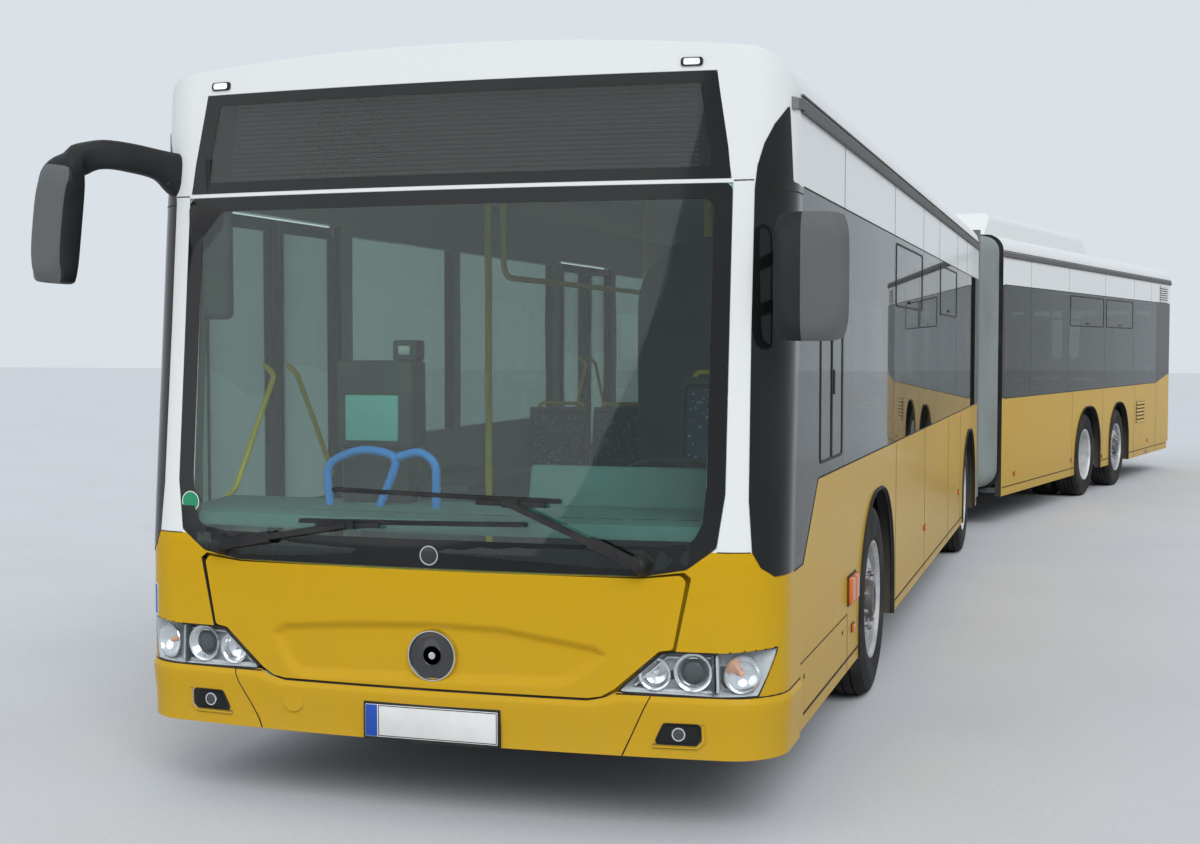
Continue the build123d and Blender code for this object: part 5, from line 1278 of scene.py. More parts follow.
# Window fittings: the driver's sliding pane, the tilting top sashes and the black frames glued on the
# glass, all in thin black strips that stand on the panes.
for end, frames_at in (("front", (((0.895, 1.290), (1.450, 1.900)), ((3.32, 1.960), (4.63, 2.290)),
                                  ((5.82, 1.960), (7.09, 2.290)))),
                       ("rear", (((13.56, 1.960), (15.20, 2.290)), ((15.36, 1.960), (16.87, 2.290))))):
    sashes = bmesh.new()
    for number, ((low_y, low_z), (high_y, high_z)) in enumerate(frames_at):
        outline = softened(oblong(low_y, low_z, high_y, high_z), 0.03)
        bead(sashes, outline, side_face(1), 0.014, 0.0035, closed=True, step=0.1)
        middle_y = (low_y + high_y) / 2
        if number == 0 and end == "front":
            bead(sashes, [(middle_y, low_z), (middle_y, high_z)], side_face(1), 0.016, 0.0045, step=0.1)
            bead(sashes, [(middle_y + 0.03, low_z + 0.26), (middle_y + 0.03, low_z + 0.36)], side_face(1),
                 0.018, 0.009)
        else:
            bead(sashes, [(middle_y - 0.05, low_z + 0.03), (middle_y + 0.05, low_z + 0.03)], side_face(1),
                 0.016, 0.007)
    made(f"{end}_window_sashes", sashes, f"{end}_section", "dark_plastic", black_moulding_and_shade)

# Side lamps: orange repeater blocks behind the front corner and small marker lamps along the skirt. Each is
# a moulded orange lens on a black base that is screwed to the side.
orange_lens = lamp_lens("orange lens", (0.88, 0.20, 0.02), 0.25, 1.4)
markers = {"front": ((1.80, 0.490), (4.90, 0.600), (7.45, 0.600)),
           "rear": ((11.344, 0.478), (13.684, 0.467), (15.22, 0.420), (17.95, 0.467))}
for end, spots in markers.items():
    lamps = bmesh.new()
    for side in (1, -1):
        face_x = side * half_width
        for lamp_y, lamp_z in spots:
            for half_long, half_high, out, bevel, finish in (
                    (0.040, 0.020, 0.004, 0.003, 1), (0.034, 0.015, 0.013, 0.005, 0)):
                block(lamps, (face_x - 0.004, lamp_y - half_long, lamp_z - half_high),
                      (face_x + out, lamp_y + half_long, lamp_z + half_high), bevel, finish=finish)
        if end == "front":
            shift = 0.0 if side > 0 else 0.30
            block(lamps, (face_x - 0.004, 1.640 + shift, 0.604), (face_x + 0.006, 1.885 + shift, 0.738),
                  0.004, finish=1)
            for low_y in (1.648, 1.770):
                block(lamps, (face_x - 0.002, low_y + shift, 0.612),
                      (face_x + 0.022, low_y + 0.107 + shift, 0.730), 0.010, segments=3)
    made(f"{end}_side_lamps", lamps, f"{end}_section", "lamp_glass", orange_lens, black_moulding_and_shade)

# Air grilles of the engine bay: pressed louvres in the yellow skirt and in the white band by the tail, each
# in the paint round it. On the left a steel lifting point stands out of the skirt's bottom edge.


def louvre(shape, side, low_y, high_y, low_z, high_z, slots, finish, dark):
    """Add a framed panel of sloping blades to a side wall, over a near-black sheet that is painted shade
    between the blades.
    """
    surface = side_face(side)
    edge = oblong(low_y, low_z, high_y, high_z)
    # The near-black sheet under the blades is painted shade in the openings into the engine bay.
    skin(shape, edge, surface, 0.0012, 0.0010, step=0.5, finish=dark)
    bead(shape, edge, surface, 0.016, 0.005, closed=True, step=0.2, finish=finish)
    pitch = (high_z - low_z) / slots
    for number in range(slots):
        foot = low_z + pitch * number
        rows = ((0.0015, 0.14), (0.0100, 0.10), (0.0115, 0.20), (0.0015, 0.72))
        rings = [[shape.verts.new(surface(y, foot + pitch * share, lift)) for lift, share in rows]
                 for y in (low_y + 0.010, high_y - 0.010)]
        joined(shape, rings, finish, capped=True)


grilles = bmesh.new()
for side in (1, -1):
    louvre(grilles, side, 17.18, 17.70, 0.733, 1.013, 6, 0, 2)
    louvre(grilles, side, 18.68, 19.21, 2.343, 2.555, 7, 1, 2)
made("rear_air_grilles", grilles, "rear_section", "yellow_paint", tail_paint, roof_paint["rear"], sealant_and_shade_black)
skirt_fitting = bmesh.new()
block(skirt_fitting, (1.262, 17.80, 0.300), (1.283, 17.90, 0.352), bevel=0.004)
block(skirt_fitting, (1.276, 17.83, 0.310), (1.290, 17.87, 0.342), bevel=0.004)
made("skirt_lifting_point", skirt_fitting, "rear_section", "aluminium", nut_steel)

# Roof: moulded pop-up hatches on rubber kerbs, two on the front section and one on the rear, joints across
# the roof, ribs and fans on the air conditioning unit's cover, and two marker lamps over the display.
bow_rise = 2.86
roof_bow_radius = 11.79


def roof_top(x, y, lift=0.0):
    """Surface of the roof's crown."""
    return Vector((x, y, bow_rise - roof_bow_radius + math.sqrt(roof_bow_radius ** 2 - x * x) + lift))


hatch_white = aged_finish("hatch moulding", (0.66, 0.67, 0.67), (0.42, 0.41, 0.38), 0.5, stain_amount=0.5,
                          patch_scale=3.0, grain_scale=120.0, bump=0.15)
for end, hatch_rows in (("front", (2.30, 6.30)), ("rear", (16.80,))):
    hatches = bmesh.new()
    for hatch_y in hatch_rows:
        outline = softened(oblong(-0.42, hatch_y - 0.38, 0.42, hatch_y + 0.38), 0.09)
        skin(hatches, outline, roof_top, 0.050, 0.060, step=0.10)
        bead(hatches, outline, roof_top, 0.050, 0.030, base=-0.004, closed=True, step=0.10, finish=1)
        for rib_x in (-0.25, 0.0, 0.25):
            bead(hatches, [(rib_x, hatch_y - 0.30), (rib_x, hatch_y + 0.30)], roof_top, 0.060, 0.009,
                 base=0.050)
    for seam_y in window_seams[(end, 1)]:
        bead(hatches, [(-1.02, seam_y), (1.02, seam_y)], roof_top, 0.022, 0.0035, base=-0.002, step=0.2)
    made(f"{end}_roof_hatches", hatches, f"{end}_section", "white_paint", hatch_white, sealant_and_shade_black)
ribs = bmesh.new()
first_rib_y = 11.75
rib_pitch = 0.30
for rib in range(13):
    rib_y = first_rib_y + rib * rib_pitch
    block(ribs, (-0.62, rib_y, 3.066), (0.62, rib_y + 0.10, 3.0755), bevel=0.004)
for fan_y in (12.1, 13.3, 14.7):
    turned(ribs, ((3.055, 0.0), (3.055, 0.24), (3.0755, 0.24), (3.0755, 0.20), (3.062, 0.19), (3.062, 0.0)),
           48, Matrix.Translation((0, fan_y, 0)) @ Matrix.Rotation(-math.pi / 2, 4, "Y"), closed=False,
           finish=1)
made("roof_unit_ribs", ribs, "rear_section", "white_paint", hatch_white, black_moulding_and_shade)
marker_pair = bmesh.new()
for low_x, high_x in ((-0.995, -0.912), (0.885, 0.964)):
    pad = softened(across(oblong(low_x, 2.737, high_x, 2.768)), 0.012)
    skin(marker_pair, pad, nose_point, 0.006, 0.012, step=0.03)
    inner = [tuple(Vector((s_at_x((low_x + high_x) / 2), 2.7525)).lerp(Vector(spot), 0.74)) for spot in pad]
    skin(marker_pair, inner, nose_point, 0.010, 0.008, step=0.03, finish=1)
made("header_marker_lamps", marker_pair, "front_section", "lamp_glass", black_moulding_and_shade, lamp_silver)

# Door leaves: three doorways of two swinging leaves, each an aluminium frame round a tall tinted pane with
# a yellow lower panel, a rubber edge and a grab rail inside. The leaves turn on pins at their outer edges.
leaf_width = 0.609
leaf_bottom, leaf_top = 0.382, 2.313
leaf_outside, leaf_inside = -half_width, -1.230
side_bar = 0.045
low_rail = 0.090
pin_reach = 0.060
frame_grey = aged_finish("door frame coating", (0.030, 0.031, 0.033), (0.09, 0.085, 0.075), 0.45,
                         stain_amount=0.4, patch_scale=4.0, grain_scale=200.0, bump=0.12, metallic=0.2)
leaf_yellow = {"front": low_nose_paint, "middle": low_nose_paint,
               "rear": coach_paint("rear door paint", rear_place, band=yellow, high=yellow,
                                   rise_start=never_y)}
grab_yellow = aged_finish("grab rail coating", (0.80, 0.52, 0.02), (0.60, 0.38, 0.03), 0.35, stain_amount=0.3,
                          patch_scale=6.0, grain_scale=120.0, bump=0.05)


def tube(shape, points, radius, segments=10, bend=0.05, finish=0):
    """Add a round bar along points, its corners bent to a radius."""
    spots = [Vector(points[0])]
    for before, corner, after in zip(points, points[1:], points[2:]):
        corner = Vector(corner)
        back = Vector(before) - corner
        on = Vector(after) - corner
        cut = min(bend, back.length * 0.45, on.length * 0.45)
        start = corner + back.normalized() * cut
        end = corner + on.normalized() * cut
        spots += [start * (1 - t) ** 2 + corner * 2 * t * (1 - t) + end * t ** 2
                  for t in (0, 0.25, 0.5, 0.75, 1)]
    spots.append(Vector(points[-1]))
    rings = []
    across_bar = None
    for number, spot in enumerate(spots):
        along = spots[min(number + 1, len(spots) - 1)] - spots[max(number - 1, 0)]
        along.normalize()
        if across_bar is None:
            across_bar = along.orthogonal().normalized()
        across_bar = (across_bar - along * across_bar.dot(along)).normalized()
        other = along.cross(across_bar)
        rings.append([shape.verts.new(spot + across_bar * radius * math.cos(math.tau * side / segments)
                                      + other * radius * math.sin(math.tau * side / segments))
                      for side in range(segments)])
    joined(shape, rings, finish, capped=True)


for door, near_y in door_y.items():
    section = "rear_section" if door == "rear" else "front_section"
    for leaf, start_y, outer_first in (("front", near_y + 0.010, True), ("rear", near_y + 0.631, False)):
        end_y = start_y + leaf_width
        shape = bmesh.new()
        if outer_first:
            toward, inner_edge, pin_y = 1, end_y, start_y + pin_reach
        else:
            toward, inner_edge, pin_y = -1, start_y, end_y - pin_reach
        near, far = start_y + side_bar, end_y - side_bar
        through = (leaf_outside, leaf_inside)
        between = (near - 0.004, far + 0.004)
        full_height = (leaf_bottom, leaf_top)
        rubber_edge = sorted((inner_edge, inner_edge + toward * 0.007))
        leaf_blocks = ((through, (start_y + 0.003, near), full_height, 0.008, 0),
                       (through, (far, end_y - 0.003), full_height, 0.008, 0),
                       (through, between, (leaf_top - 0.055, leaf_top), 0.006, 0),
                       (through, between, (leaf_bottom, leaf_bottom + low_rail), 0.006, 0),
                       ((leaf_outside + 0.004, leaf_outside + 0.016), between,
                        (leaf_bottom + low_rail - 0.004, 1.0), 0.003, 1),
                       (through, between, (0.985, 1.025), 0.006, 0),
                       ((leaf_outside - 0.001, leaf_outside + 0.006), (near, far),
                        (leaf_bottom + 0.020, leaf_bottom + low_rail - 0.008), 0.002, 1),
                       ((leaf_outside + 0.006, leaf_inside - 0.006), rubber_edge, full_height, 0.003, 2),
                       ((leaf_outside + 0.004, leaf_inside - 0.006), (start_y + 0.004, end_y - 0.004),
                        (leaf_bottom - 0.006, leaf_bottom + 0.004), 0.003, 2))
        for (low_x, high_x), (low_y, high_y), (low_z, high_z), bevel, finish in leaf_blocks:
            block(shape, (low_x, low_y, low_z), (high_x, high_y, high_z), bevel, finish=finish)
        tube(shape, [(leaf_inside, pin_y, leaf_top - 0.040), (leaf_inside, pin_y, 2.324)], 0.0118, 16,
             finish=3)
        handle_y = pin_y + toward * 0.10
        far_y = inner_edge - toward * 0.10
        tube(shape,
             [(leaf_inside - 0.004, handle_y, 1.10), (leaf_inside + 0.045, handle_y, 1.14),
              (leaf_inside + 0.045, far_y, 1.62), (leaf_inside - 0.004, far_y, 1.66)], 0.012, 12, finish=4)
        if door == "front" and leaf == "rear":
            block(shape, (leaf_outside - 0.002, inner_edge + 0.070, 1.10),
                  (leaf_outside + 0.010, inner_edge + 0.110, 1.16), 0.003, finish=3)
        body = f"{door}_door_{leaf}_leaf"
        frame_piece = made(f"{body}_frame", shape, body, "yellow_paint", frame_grey, leaf_yellow[door],
                           sealant_and_shade_black, nut_steel, grab_yellow, place=places[section])
        glass = bmesh.new()
        block(glass, (leaf_outside + 0.012, between[0], 1.021),
              (leaf_outside + 0.018, between[1], leaf_top - 0.051), 0.0015)
        made(f"{body}_pane", glass, body, "tinted_glass", side_tint, place=places[section])
        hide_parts(body)

# Cab: the moulded desk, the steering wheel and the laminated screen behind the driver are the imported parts.
# A pod with three round meters stands on the desk, and a row of keys sits in its face.
desk_teal = aged_finish("desk moulding", (0.10, 0.16, 0.16), (0.06, 0.09, 0.09), 0.55, stain_amount=0.3,
                        patch_scale=4.0, grain_scale=260.0, grain_contrast=0.3, bump=0.3)
wheel_rim_black = aged_finish("steering wheel rim", (0.016, 0.016, 0.017), (0.05, 0.05, 0.05), 0.5,
                              stain_amount=0.4, patch_scale=12.0, grain_scale=400.0, bump=0.35)
screen_dark = aged_finish("cab screen laminate", (0.030, 0.032, 0.035), (0.06, 0.06, 0.06), 0.5,
                          stain_amount=0.4, patch_scale=3.0, grain_scale=260.0, bump=0.2)
meter_face = aged_finish("meter faces", (0.015, 0.016, 0.018), (0.05, 0.05, 0.06), 0.3, bump=0.05)
cover_node("dashboard", desk_teal)
cover_node("steering_wheel", wheel_rim_black)
cover_node("cab_partition", screen_dark)
cab = bmesh.new()
panel_tilt = Matrix.Translation((0.600, 0.500, 1.135)) @ Matrix.Rotation(math.radians(-14), 4, "X")
block(cab, (-0.385, -0.050, -0.020), (0.425, 0.060, 0.150), 0.020, panel_tilt, finish=0, segments=4)
for meter_x, radius in ((-0.150, 0.050), (0.0, 0.062), (0.150, 0.050)):
    spot = panel_tilt @ Matrix.Translation((meter_x, 0.060, 0.066)) @ Matrix.Rotation(math.pi / 2, 4, "Z")
    turned(cab, ((0.0, 0.0), (0.0, radius), (0.008, radius), (0.008, radius - 0.006), (0.003, radius - 0.008),
                 (0.003, 0.0)), 36, spot, closed=False, finish=1)
for key in range(8):
    key_x = 0.545 + key * 0.028
    block(cab, (key_x, 0.640, 0.905), (key_x + 0.022, 0.646, 0.927), 0.003, finish=1)
made("cab_instruments", cab, "front_section", "dark_plastic", desk_teal, meter_face, black_moulding_and_shade)

# Shelf under the windscreen: one moulding across the whole nose that follows the glass, with a rounded
# rear edge and a row of air slots in front.
shelf_columns = 24
shelf_half = 1.095
shelf_top = 1.118
shelf_back = 0.500
slot_pitch = 0.14
slot_length = 0.115
shelf = bmesh.new()
columns = []
for column in range(shelf_columns + 1):
    x = shelf_half * (2 * column / shelf_columns - 1)
    front = nose_point(s_at_x(x), shelf_top - 0.045, -0.040)
    outline = ((front.y, front.z - 0.012), (front.y, front.z), (front.y + 0.020, shelf_top - 0.008),
               (front.y + 0.060, shelf_top), (shelf_back, shelf_top + 0.016),
               (shelf_back + 0.012, shelf_top + 0.008), (shelf_back + 0.012, shelf_top - 0.060),
               (shelf_back, shelf_top - 0.060), (shelf_back, shelf_top - 0.004))
    columns.append([shelf.verts.new((x, y, z)) for y, z in outline])
joined(shelf, columns, capped=True)
for slot in range(15):
    slot_x = -0.98 + slot * slot_pitch
    slot_y = 0.175 + 0.06 * slot_x ** 2
    block(shelf, (slot_x, slot_y, shelf_top + 0.0005),
          (slot_x + slot_length, slot_y + 0.008, shelf_top + 0.0045), 0.001, finish=1)
made("windscreen_shelf", shelf, "front_section", "dark_plastic", desk_teal, meter_face)

# Ticket machine: a painted metal case on a black pedestal beside the driver, with a panel of keys towards
# the passengers, a dark display towards the driver and a small card reader on top.
ticket_teal = aged_finish("ticket machine case", (0.13, 0.30, 0.29), (0.09, 0.20, 0.20), 0.45,
                          stain_amount=0.3, patch_scale=8.0, grain_scale=200.0, bump=0.15)
ticket = bmesh.new()
for low, high, bevel, finish, segments in (
        ((-0.540, 0.400, 1.120), (-0.255, 0.495, 1.345), 0.012, 3, 2),
        ((-0.560, 0.385, 1.345), (-0.235, 0.535, 1.690), 0.018, 3, 3),
        ((-0.515, 0.372, 1.375), (-0.290, 0.388, 1.555), 0.008, 0, 2),
        ((-0.480, 0.533, 1.400), (-0.300, 0.543, 1.600), 0.004, 1, 2),
        ((-0.330, 0.410, 1.690), (-0.225, 0.500, 1.770), 0.012, 3, 2),
        ((-0.300, 0.402, 1.712), (-0.250, 0.412, 1.748), 0.003, 2, 2)):
    block(ticket, low, high, bevel, finish=finish, segments=segments)
made("ticket_machine", ticket, "front_section", "dark_plastic", ticket_teal, meter_face, nut_steel,
     black_moulding_and_shade)

# Mirror inside the entrance: a dark moulded housing that hangs on a rod from the header, behind the
# windscreen's right corner.
entrance_mirror = bmesh.new()
block(entrance_mirror, (-1.085, 0.165, 1.850), (-0.905, 0.225, 2.300), 0.028, segments=5)
block(entrance_mirror, (-1.070, 0.2245, 1.870), (-0.920, 0.2275, 2.280), 0.001, finish=1)
tube(entrance_mirror, [(-1.000, 0.190, 2.290), (-1.000, 0.190, 2.470)], 0.011, 12)
made("entrance_mirror", entrance_mirror, "front_section", "dark_plastic", black_moulding_and_shade, meter_face)

# Handrails: coated steel tubes. A blue double bow stands on the shelf by the entrance, and yellow stanchions
# run from floor to ceiling along the gangway with a rail on each side under the ceiling.
rail_blue = aged_finish("handrail coating", (0.03, 0.20, 0.62), (0.03, 0.14, 0.42), 0.3, stain_amount=0.3,
                        patch_scale=6.0, grain_scale=120.0, bump=0.04)
floor_z = 0.370
ceiling_z = 2.74
rail_low_z = 2.080


def floor_flange(shape, x, y, low, segments):
    """Add the round flange that holds a tube on the floor."""
    turned(shape, ((low, 0.0), (low, 0.040), (floor_z + 0.008, 0.038), (floor_z + 0.012, 0.018)), segments,
           Matrix.Translation((x, y, 0)) @ Matrix.Rotation(-math.pi / 2, 4, "Y"), closed=False)


gate = bmesh.new()
tube(gate, [(-0.560, 0.330, 1.120), (-0.575, 0.330, 1.290), (-0.420, 0.330, 1.350), (-0.262, 0.330, 1.322),
            (-0.350, 0.330, 1.120)], 0.017, 14, bend=0.06)
tube(gate, [(-0.275, 0.330, 1.315), (-0.180, 0.330, 1.345), (-0.110, 0.330, 1.300), (-0.110, 0.330, 1.120)],
     0.017, 14, bend=0.06)
for foot_x, foot_y in ((-0.640, 1.560), (0.020, 1.160), (-0.200, 1.230)):
    floor_flange(gate, foot_x, foot_y, floor_z - 0.001, 24)
made("entrance_handrail", gate, "front_section", "yellow_paint", rail_blue)
pole_rows = {"front": ((-0.52, 1.95), (-0.52, 4.80), (-0.52, 6.60), (0.40, 3.60), (0.40, 6.20),
                       (0.42, 7.50)),
             "rear": ((-0.52, 11.20), (-0.52, 13.00), (0.45, 12.40), (0.45, 13.95), (-0.45, 16.00),
                      (0.45, 16.00))}
rail_ends = {"front": {1: (2.4, 9.0), -1: (2.0, 9.0)}, "rear": {1: (11.3, 18.6), -1: (12.9, 18.6)}}
for end, poles in pole_rows.items():
    bars = bmesh.new()
    for pole_x, pole_y in poles:
        tube(bars, [(pole_x, pole_y, floor_z), (pole_x, pole_y, ceiling_z)], 0.0175, 14)
        floor_flange(bars, pole_x, pole_y, floor_z, 20)
    for side, (low_y, high_y) in rail_ends[end].items():
        rail_x = side * 0.46
        tube(bars, [(rail_x, low_y, ceiling_z), (rail_x, low_y, rail_low_z), (rail_x, high_y, rail_low_z),
                    (rail_x, high_y, ceiling_z)], 0.0150, 12, bend=0.10)
    made(f"{end}_grab_rails", bars, f"{end}_section", "yellow_paint", grab_yellow)

# Seats: moulded shells on pedestals with foam pads in woven moquette. The pads are blown up as cloth once
# for each shape, then fixed to every shell, sewn across in two channels and piped round the edge.
seat_pitch = 0.430
pad_voxel = 0.012
pad_reach = 0.016
channel_depth = 0.007
channel_half = 0.011
seat_grey = aged_finish("seat shell moulding", (0.060, 0.064, 0.070), (0.10, 0.10, 0.10), 0.5,
                        stain_amount=0.3, patch_scale=8.0, grain_scale=350.0, bump=0.25)
piping_black = aged_finish("seat piping", (0.02, 0.02, 0.022), (0.05, 0.05, 0.05), 0.6, bump=0.2)
moquette, weave, cloth_shader = new_material("woven moquette")
own = weave.nodes.new("ShaderNodeTexCoord").outputs["Object"]
fleck = added(weave, "ShaderNodeTexVoronoi", {"Vector": own, "Scale": 38.0}).outputs["Distance"]
fleck_edge = added(weave, "ShaderNodeMapRange", {"Value": fleck, "From Min": 0.18, "From Max": 0.30})
fleck_colour = blended(weave, fleck_edge.outputs[0], (0.30, 0.36, 0.46, 1.0), (0.022, 0.045, 0.105, 1.0))
cloth_wear = aged(weave, {"Colour": fleck_colour, "Stain": (0.10, 0.10, 0.11, 1.0), "Stain Amount": 0.35,
                          "Patch Scale": 5.0, "Grain Scale": 700.0, "Grain Contrast": 0.6, "Roughness": 0.9})
threads = [added(weave, "ShaderNodeTexWave", {"Vector": own, "Scale": 160.0, "Distortion": 1.0},
                 bands_direction=direction).outputs["Fac"] for direction in ("X", "Y")]
fed(weave, cloth_shader, {"Sheen Weight": 0.35, "Sheen Roughness": 0.4, "Base Color": cloth_wear["Colour"],
                          "Roughness": cloth_wear["Roughness"],
                          "Normal": relief(weave, worked(weave, "MAXIMUM", *threads), 0.35, 0.0015)})


def swollen_pad(name, width, depth, thick):
    """Mesh of one foam pad lying on its back: remeshed, blown up as cloth, capped, sewn and piped."""
    blank = bmesh.new()
    block(blank, (-width / 2, -depth / 2, -thick / 2), (width / 2, depth / 2, thick / 2), bevel=thick * 0.4,
          segments=3)
    blank_mesh = bpy.data.meshes.new(f"{name} blank")
    blank.to_mesh(blank_mesh)
    blank.free()
    blank_pad = bpy.data.objects.new(f"{name} blank", blank_mesh)
    bpy.context.scene.collection.objects.link(blank_pad)
    voxels = blank_pad.modifiers.new("voxels", "REMESH")
    voxels.mode = "VOXEL"
    voxels.voxel_size = pad_voxel
    mesh = bpy.data.meshes.new_from_object(blank_pad.evaluated_get(bpy.context.evaluated_depsgraph_get()))
    bpy.data.objects.remove(blank_pad)
    bpy.data.meshes.remove(blank_mesh)
    before = [vert.co.copy() for vert in mesh.vertices]
    pad = bpy.data.objects.new(f"{name} cloth", mesh)
    bpy.context.scene.collection.objects.link(pad)
    cloth = pad.modifiers.new("swell", "CLOTH")
    cloth.settings.use_pressure = True
    cloth.settings.uniform_pressure_force = 4.0
    cloth.settings.effector_weights.gravity = 0.0
    cloth.settings.quality = 4
    for step in range(1, 21):
        bpy.context.scene.frame_set(step)
    swollen = bpy.data.meshes.new_from_object(pad.evaluated_get(bpy.context.evaluated_depsgraph_get()))
    bpy.data.objects.remove(pad)
    bpy.context.scene.frame_set(1)
    after = [vert.co.copy() for vert in swollen.vertices]
    bpy.data.meshes.remove(swollen)
    for vert, old, new in zip(mesh.vertices, before, after):
        move = new - old
        if move.length > pad_reach:
            move *= pad_reach / move.length
        spot = old + move
        if spot.z > 0:
            for channel in (-0.17, 0.17):
                offset = (spot.y - channel * depth) / channel_half
                spot.z -= channel_depth * math.exp(-offset * offset)
        spot.z = max(spot.z, -thick / 2 - 0.002)
        vert.co = spot
    pad_shape = bmesh.new()
    pad_shape.from_mesh(mesh)
    bpy.data.meshes.remove(mesh)
    hem = softened(oblong(-width / 2, -depth / 2, width / 2, depth / 2),
                   0.035)
    bead(pad_shape, hem, lambda u, v, lift: Vector((u, v, lift)), 0.014, 0.010, base=-0.004, closed=True,
         finish=1)
    finished = bpy.data.meshes.new(name)
    pad_shape.to_mesh(finished)
    pad_shape.free()
    for polygon in finished.polygons:
        polygon.use_smooth = True
    finished.materials.append(moquette)
    finished.materials.append(piping_black)
    return finished


cushion_mesh = swollen_pad("seat cushion pad", 0.375, 0.350, 0.040)
backrest_mesh = swollen_pad("seat back pad", 0.365, 0.500, 0.030)
seat_rows = {"front": [(1, y, 0.370) for y in (4.15, 4.95, 5.75, 6.55)]
             + [(-1, y, 0.370) for y in (4.35, 7.30)],
             "rear": [(1, y, 0.370) for y in (12.05, 12.85, 13.65)] + [(-1, 13.60, 0.370)]
             + [(side, y, 1.150) for side in (1, -1) for y in (18.0, 19.1)]}
pair_x = 0.760
back_lean = math.atan2(0.080, 0.650)
seat_half = 0.205
sewn_at = Matrix.Translation((0, -0.228, 0.400))
hung_at = Matrix.Translation((0, -0.020, 0.350)) @ Matrix.Rotation(math.pi / 2, 4, "X")
for end, rows in seat_rows.items():
    body = f"{end}_section"
    spots = [(side * pair_x + share * seat_pitch, y, base) for side, y, base in rows for share in (-0.5, 0.5)]
    if end == "front":
        spots.append((0.720, 1.650, 0.620))
    shells = bmesh.new()
    for number, (seat_x, seat_y, base) in enumerate(spots):
        at = Matrix.Translation((seat_x, seat_y, base))
        back_at = at @ Matrix.Translation((0, -0.042, 0.352)) @ Matrix.Rotation(-back_lean, 4, "X")
        for place, low, high in ((at, (-0.430, 0.350), (-0.030, 0.378)),
                                 (at, (-0.445, 0.342), (-0.415, 0.372)),
                                 (back_at, (-0.004, 0.0), (0.022, 0.640))):
            block(shells, (-seat_half, *low), (seat_half, *high), 0.012, place, segments=3)
        handle = ((-0.15, 0.008, 0.60), (-0.15, 0.030, 0.665), (0.15, 0.030, 0.665), (0.15, 0.008, 0.60))
        tube(shells, [back_at @ Vector(spot) for spot in handle], 0.011, 10, 0.03, finish=1)
        if number % 2 == 0:
            foot_x = 0.0 if number == len(spots) - 1 and end == "front" else seat_pitch / 2
            block(shells, (foot_x - 0.115, -0.330, 0.0), (foot_x + 0.115, -0.100, 0.351), 0.020, at,
                  segments=3)
        for label, mesh, spot in (("cushion", cushion_mesh, at @ sewn_at),
                                  ("backrest", backrest_mesh, back_at @ hung_at)):
            pad_mesh = mesh.copy()
            pad_mesh.name = f"{end} seat {label}"
            pad_mesh.transform(places[body] @ spot)
            pad = bpy.data.objects.new(f"{end}_seat_{number + 1:02d}_{label}", pad_mesh)
            bpy.context.scene.collection.objects.link(pad)
            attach(pad, body)
    seat_shells = made(f"{end}_seat_shells", shells, body, "seat_fabric", seat_grey, grab_yellow)
    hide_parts(f"{end}_seats")

# Mirrors: grained black mouldings. The right head hangs from a thick horn that comes out of the roof's
# front corner, the left one stands on a short bracket from the corner post; each has a silvered pane.
# Both heads are the black moulding. Their fronts take a lighter grey copy of it as painted light, and a share
# of one side takes the black as painted shade; the arms are the black itself.
mirror_lit_grey = aged_finish("mirror head moulding painted lit", (0.115, 0.120, 0.122), (0.15, 0.15, 0.15), 0.5,
                          stain_amount=0.3, patch_scale=5.0, grain_scale=420.0, grain_contrast=0.35,
                          bump=0.3)
mirror_black_and_shade = aged_finish("mirror arm moulding and painted shade", (0.018, 0.019, 0.020), (0.05, 0.05, 0.05), 0.48,
                           stain_amount=0.3, patch_scale=5.0, grain_scale=420.0, grain_contrast=0.35,
                           bump=0.3)
mirror_silver = aged_finish("mirror pane", (0.86, 0.87, 0.88), (0.72, 0.73, 0.74), 0.02, stain_amount=0.2,
                            patch_scale=5.0, spread=0.03, bump=0.0, metallic=1.0)


def horn(shape, stations, segments=20, finish=0):
    """Add a moulded arm through stations of (centre, half width across, half height, roll of its section)."""
    rings = []
    centres = [Vector(station[0]) for station in stations]
    for number, (centre, wide, high, sideways) in enumerate(stations):
        along = (centres[min(number + 1, len(stations) - 1)] - centres[max(number - 1, 0)]).normalized()
        aside = Vector(sideways)
        aside = (aside - along * aside.dot(along)).normalized()
        up = along.cross(aside)
        ring = []
        for side in range(segments):
            angle = math.tau * side / segments
            c = math.cos(angle)
            s = math.sin(angle)
            ring.append(shape.verts.new(Vector(centre) + aside * wide * math.copysign(abs(c) ** 0.7, c)
                                        + up * high * math.copysign(abs(s) ** 0.7, s)))
        rings.append(ring)
    joined(shape, rings, finish, capped=True)


def smooth_stations(stations, steps=4):
    """Fill in stations between the given ones along a smooth line."""
    filled = []
    last = len(stations) - 1
    for number in range(last):
        rows = [stations[max(0, number - 1)], stations[number], stations[number + 1],
                stations[min(last, number + 2)]]
        for step in range(steps):
            t = step / steps
            weights = (-0.5 * t + t * t - 0.5 * t ** 3, 1 - 2.5 * t * t + 1.5 * t ** 3,
                       0.5 * t + 2 * t * t - 1.5 * t ** 3, -0.5 * t * t + 0.5 * t ** 3)
            centre = sum((Vector(row[0]) * weight for row, weight in zip(rows, weights)), Vector())
            aside = sum((Vector(row[3]) * weight for row, weight in zip(rows, weights)), Vector())
            filled.append((centre, sum(row[1] * w for row, w in zip(rows, weights)),
                           sum(row[2] * w for row, w in zip(rows, weights)), aside))
    filled.append(stations[-1])
    return filled


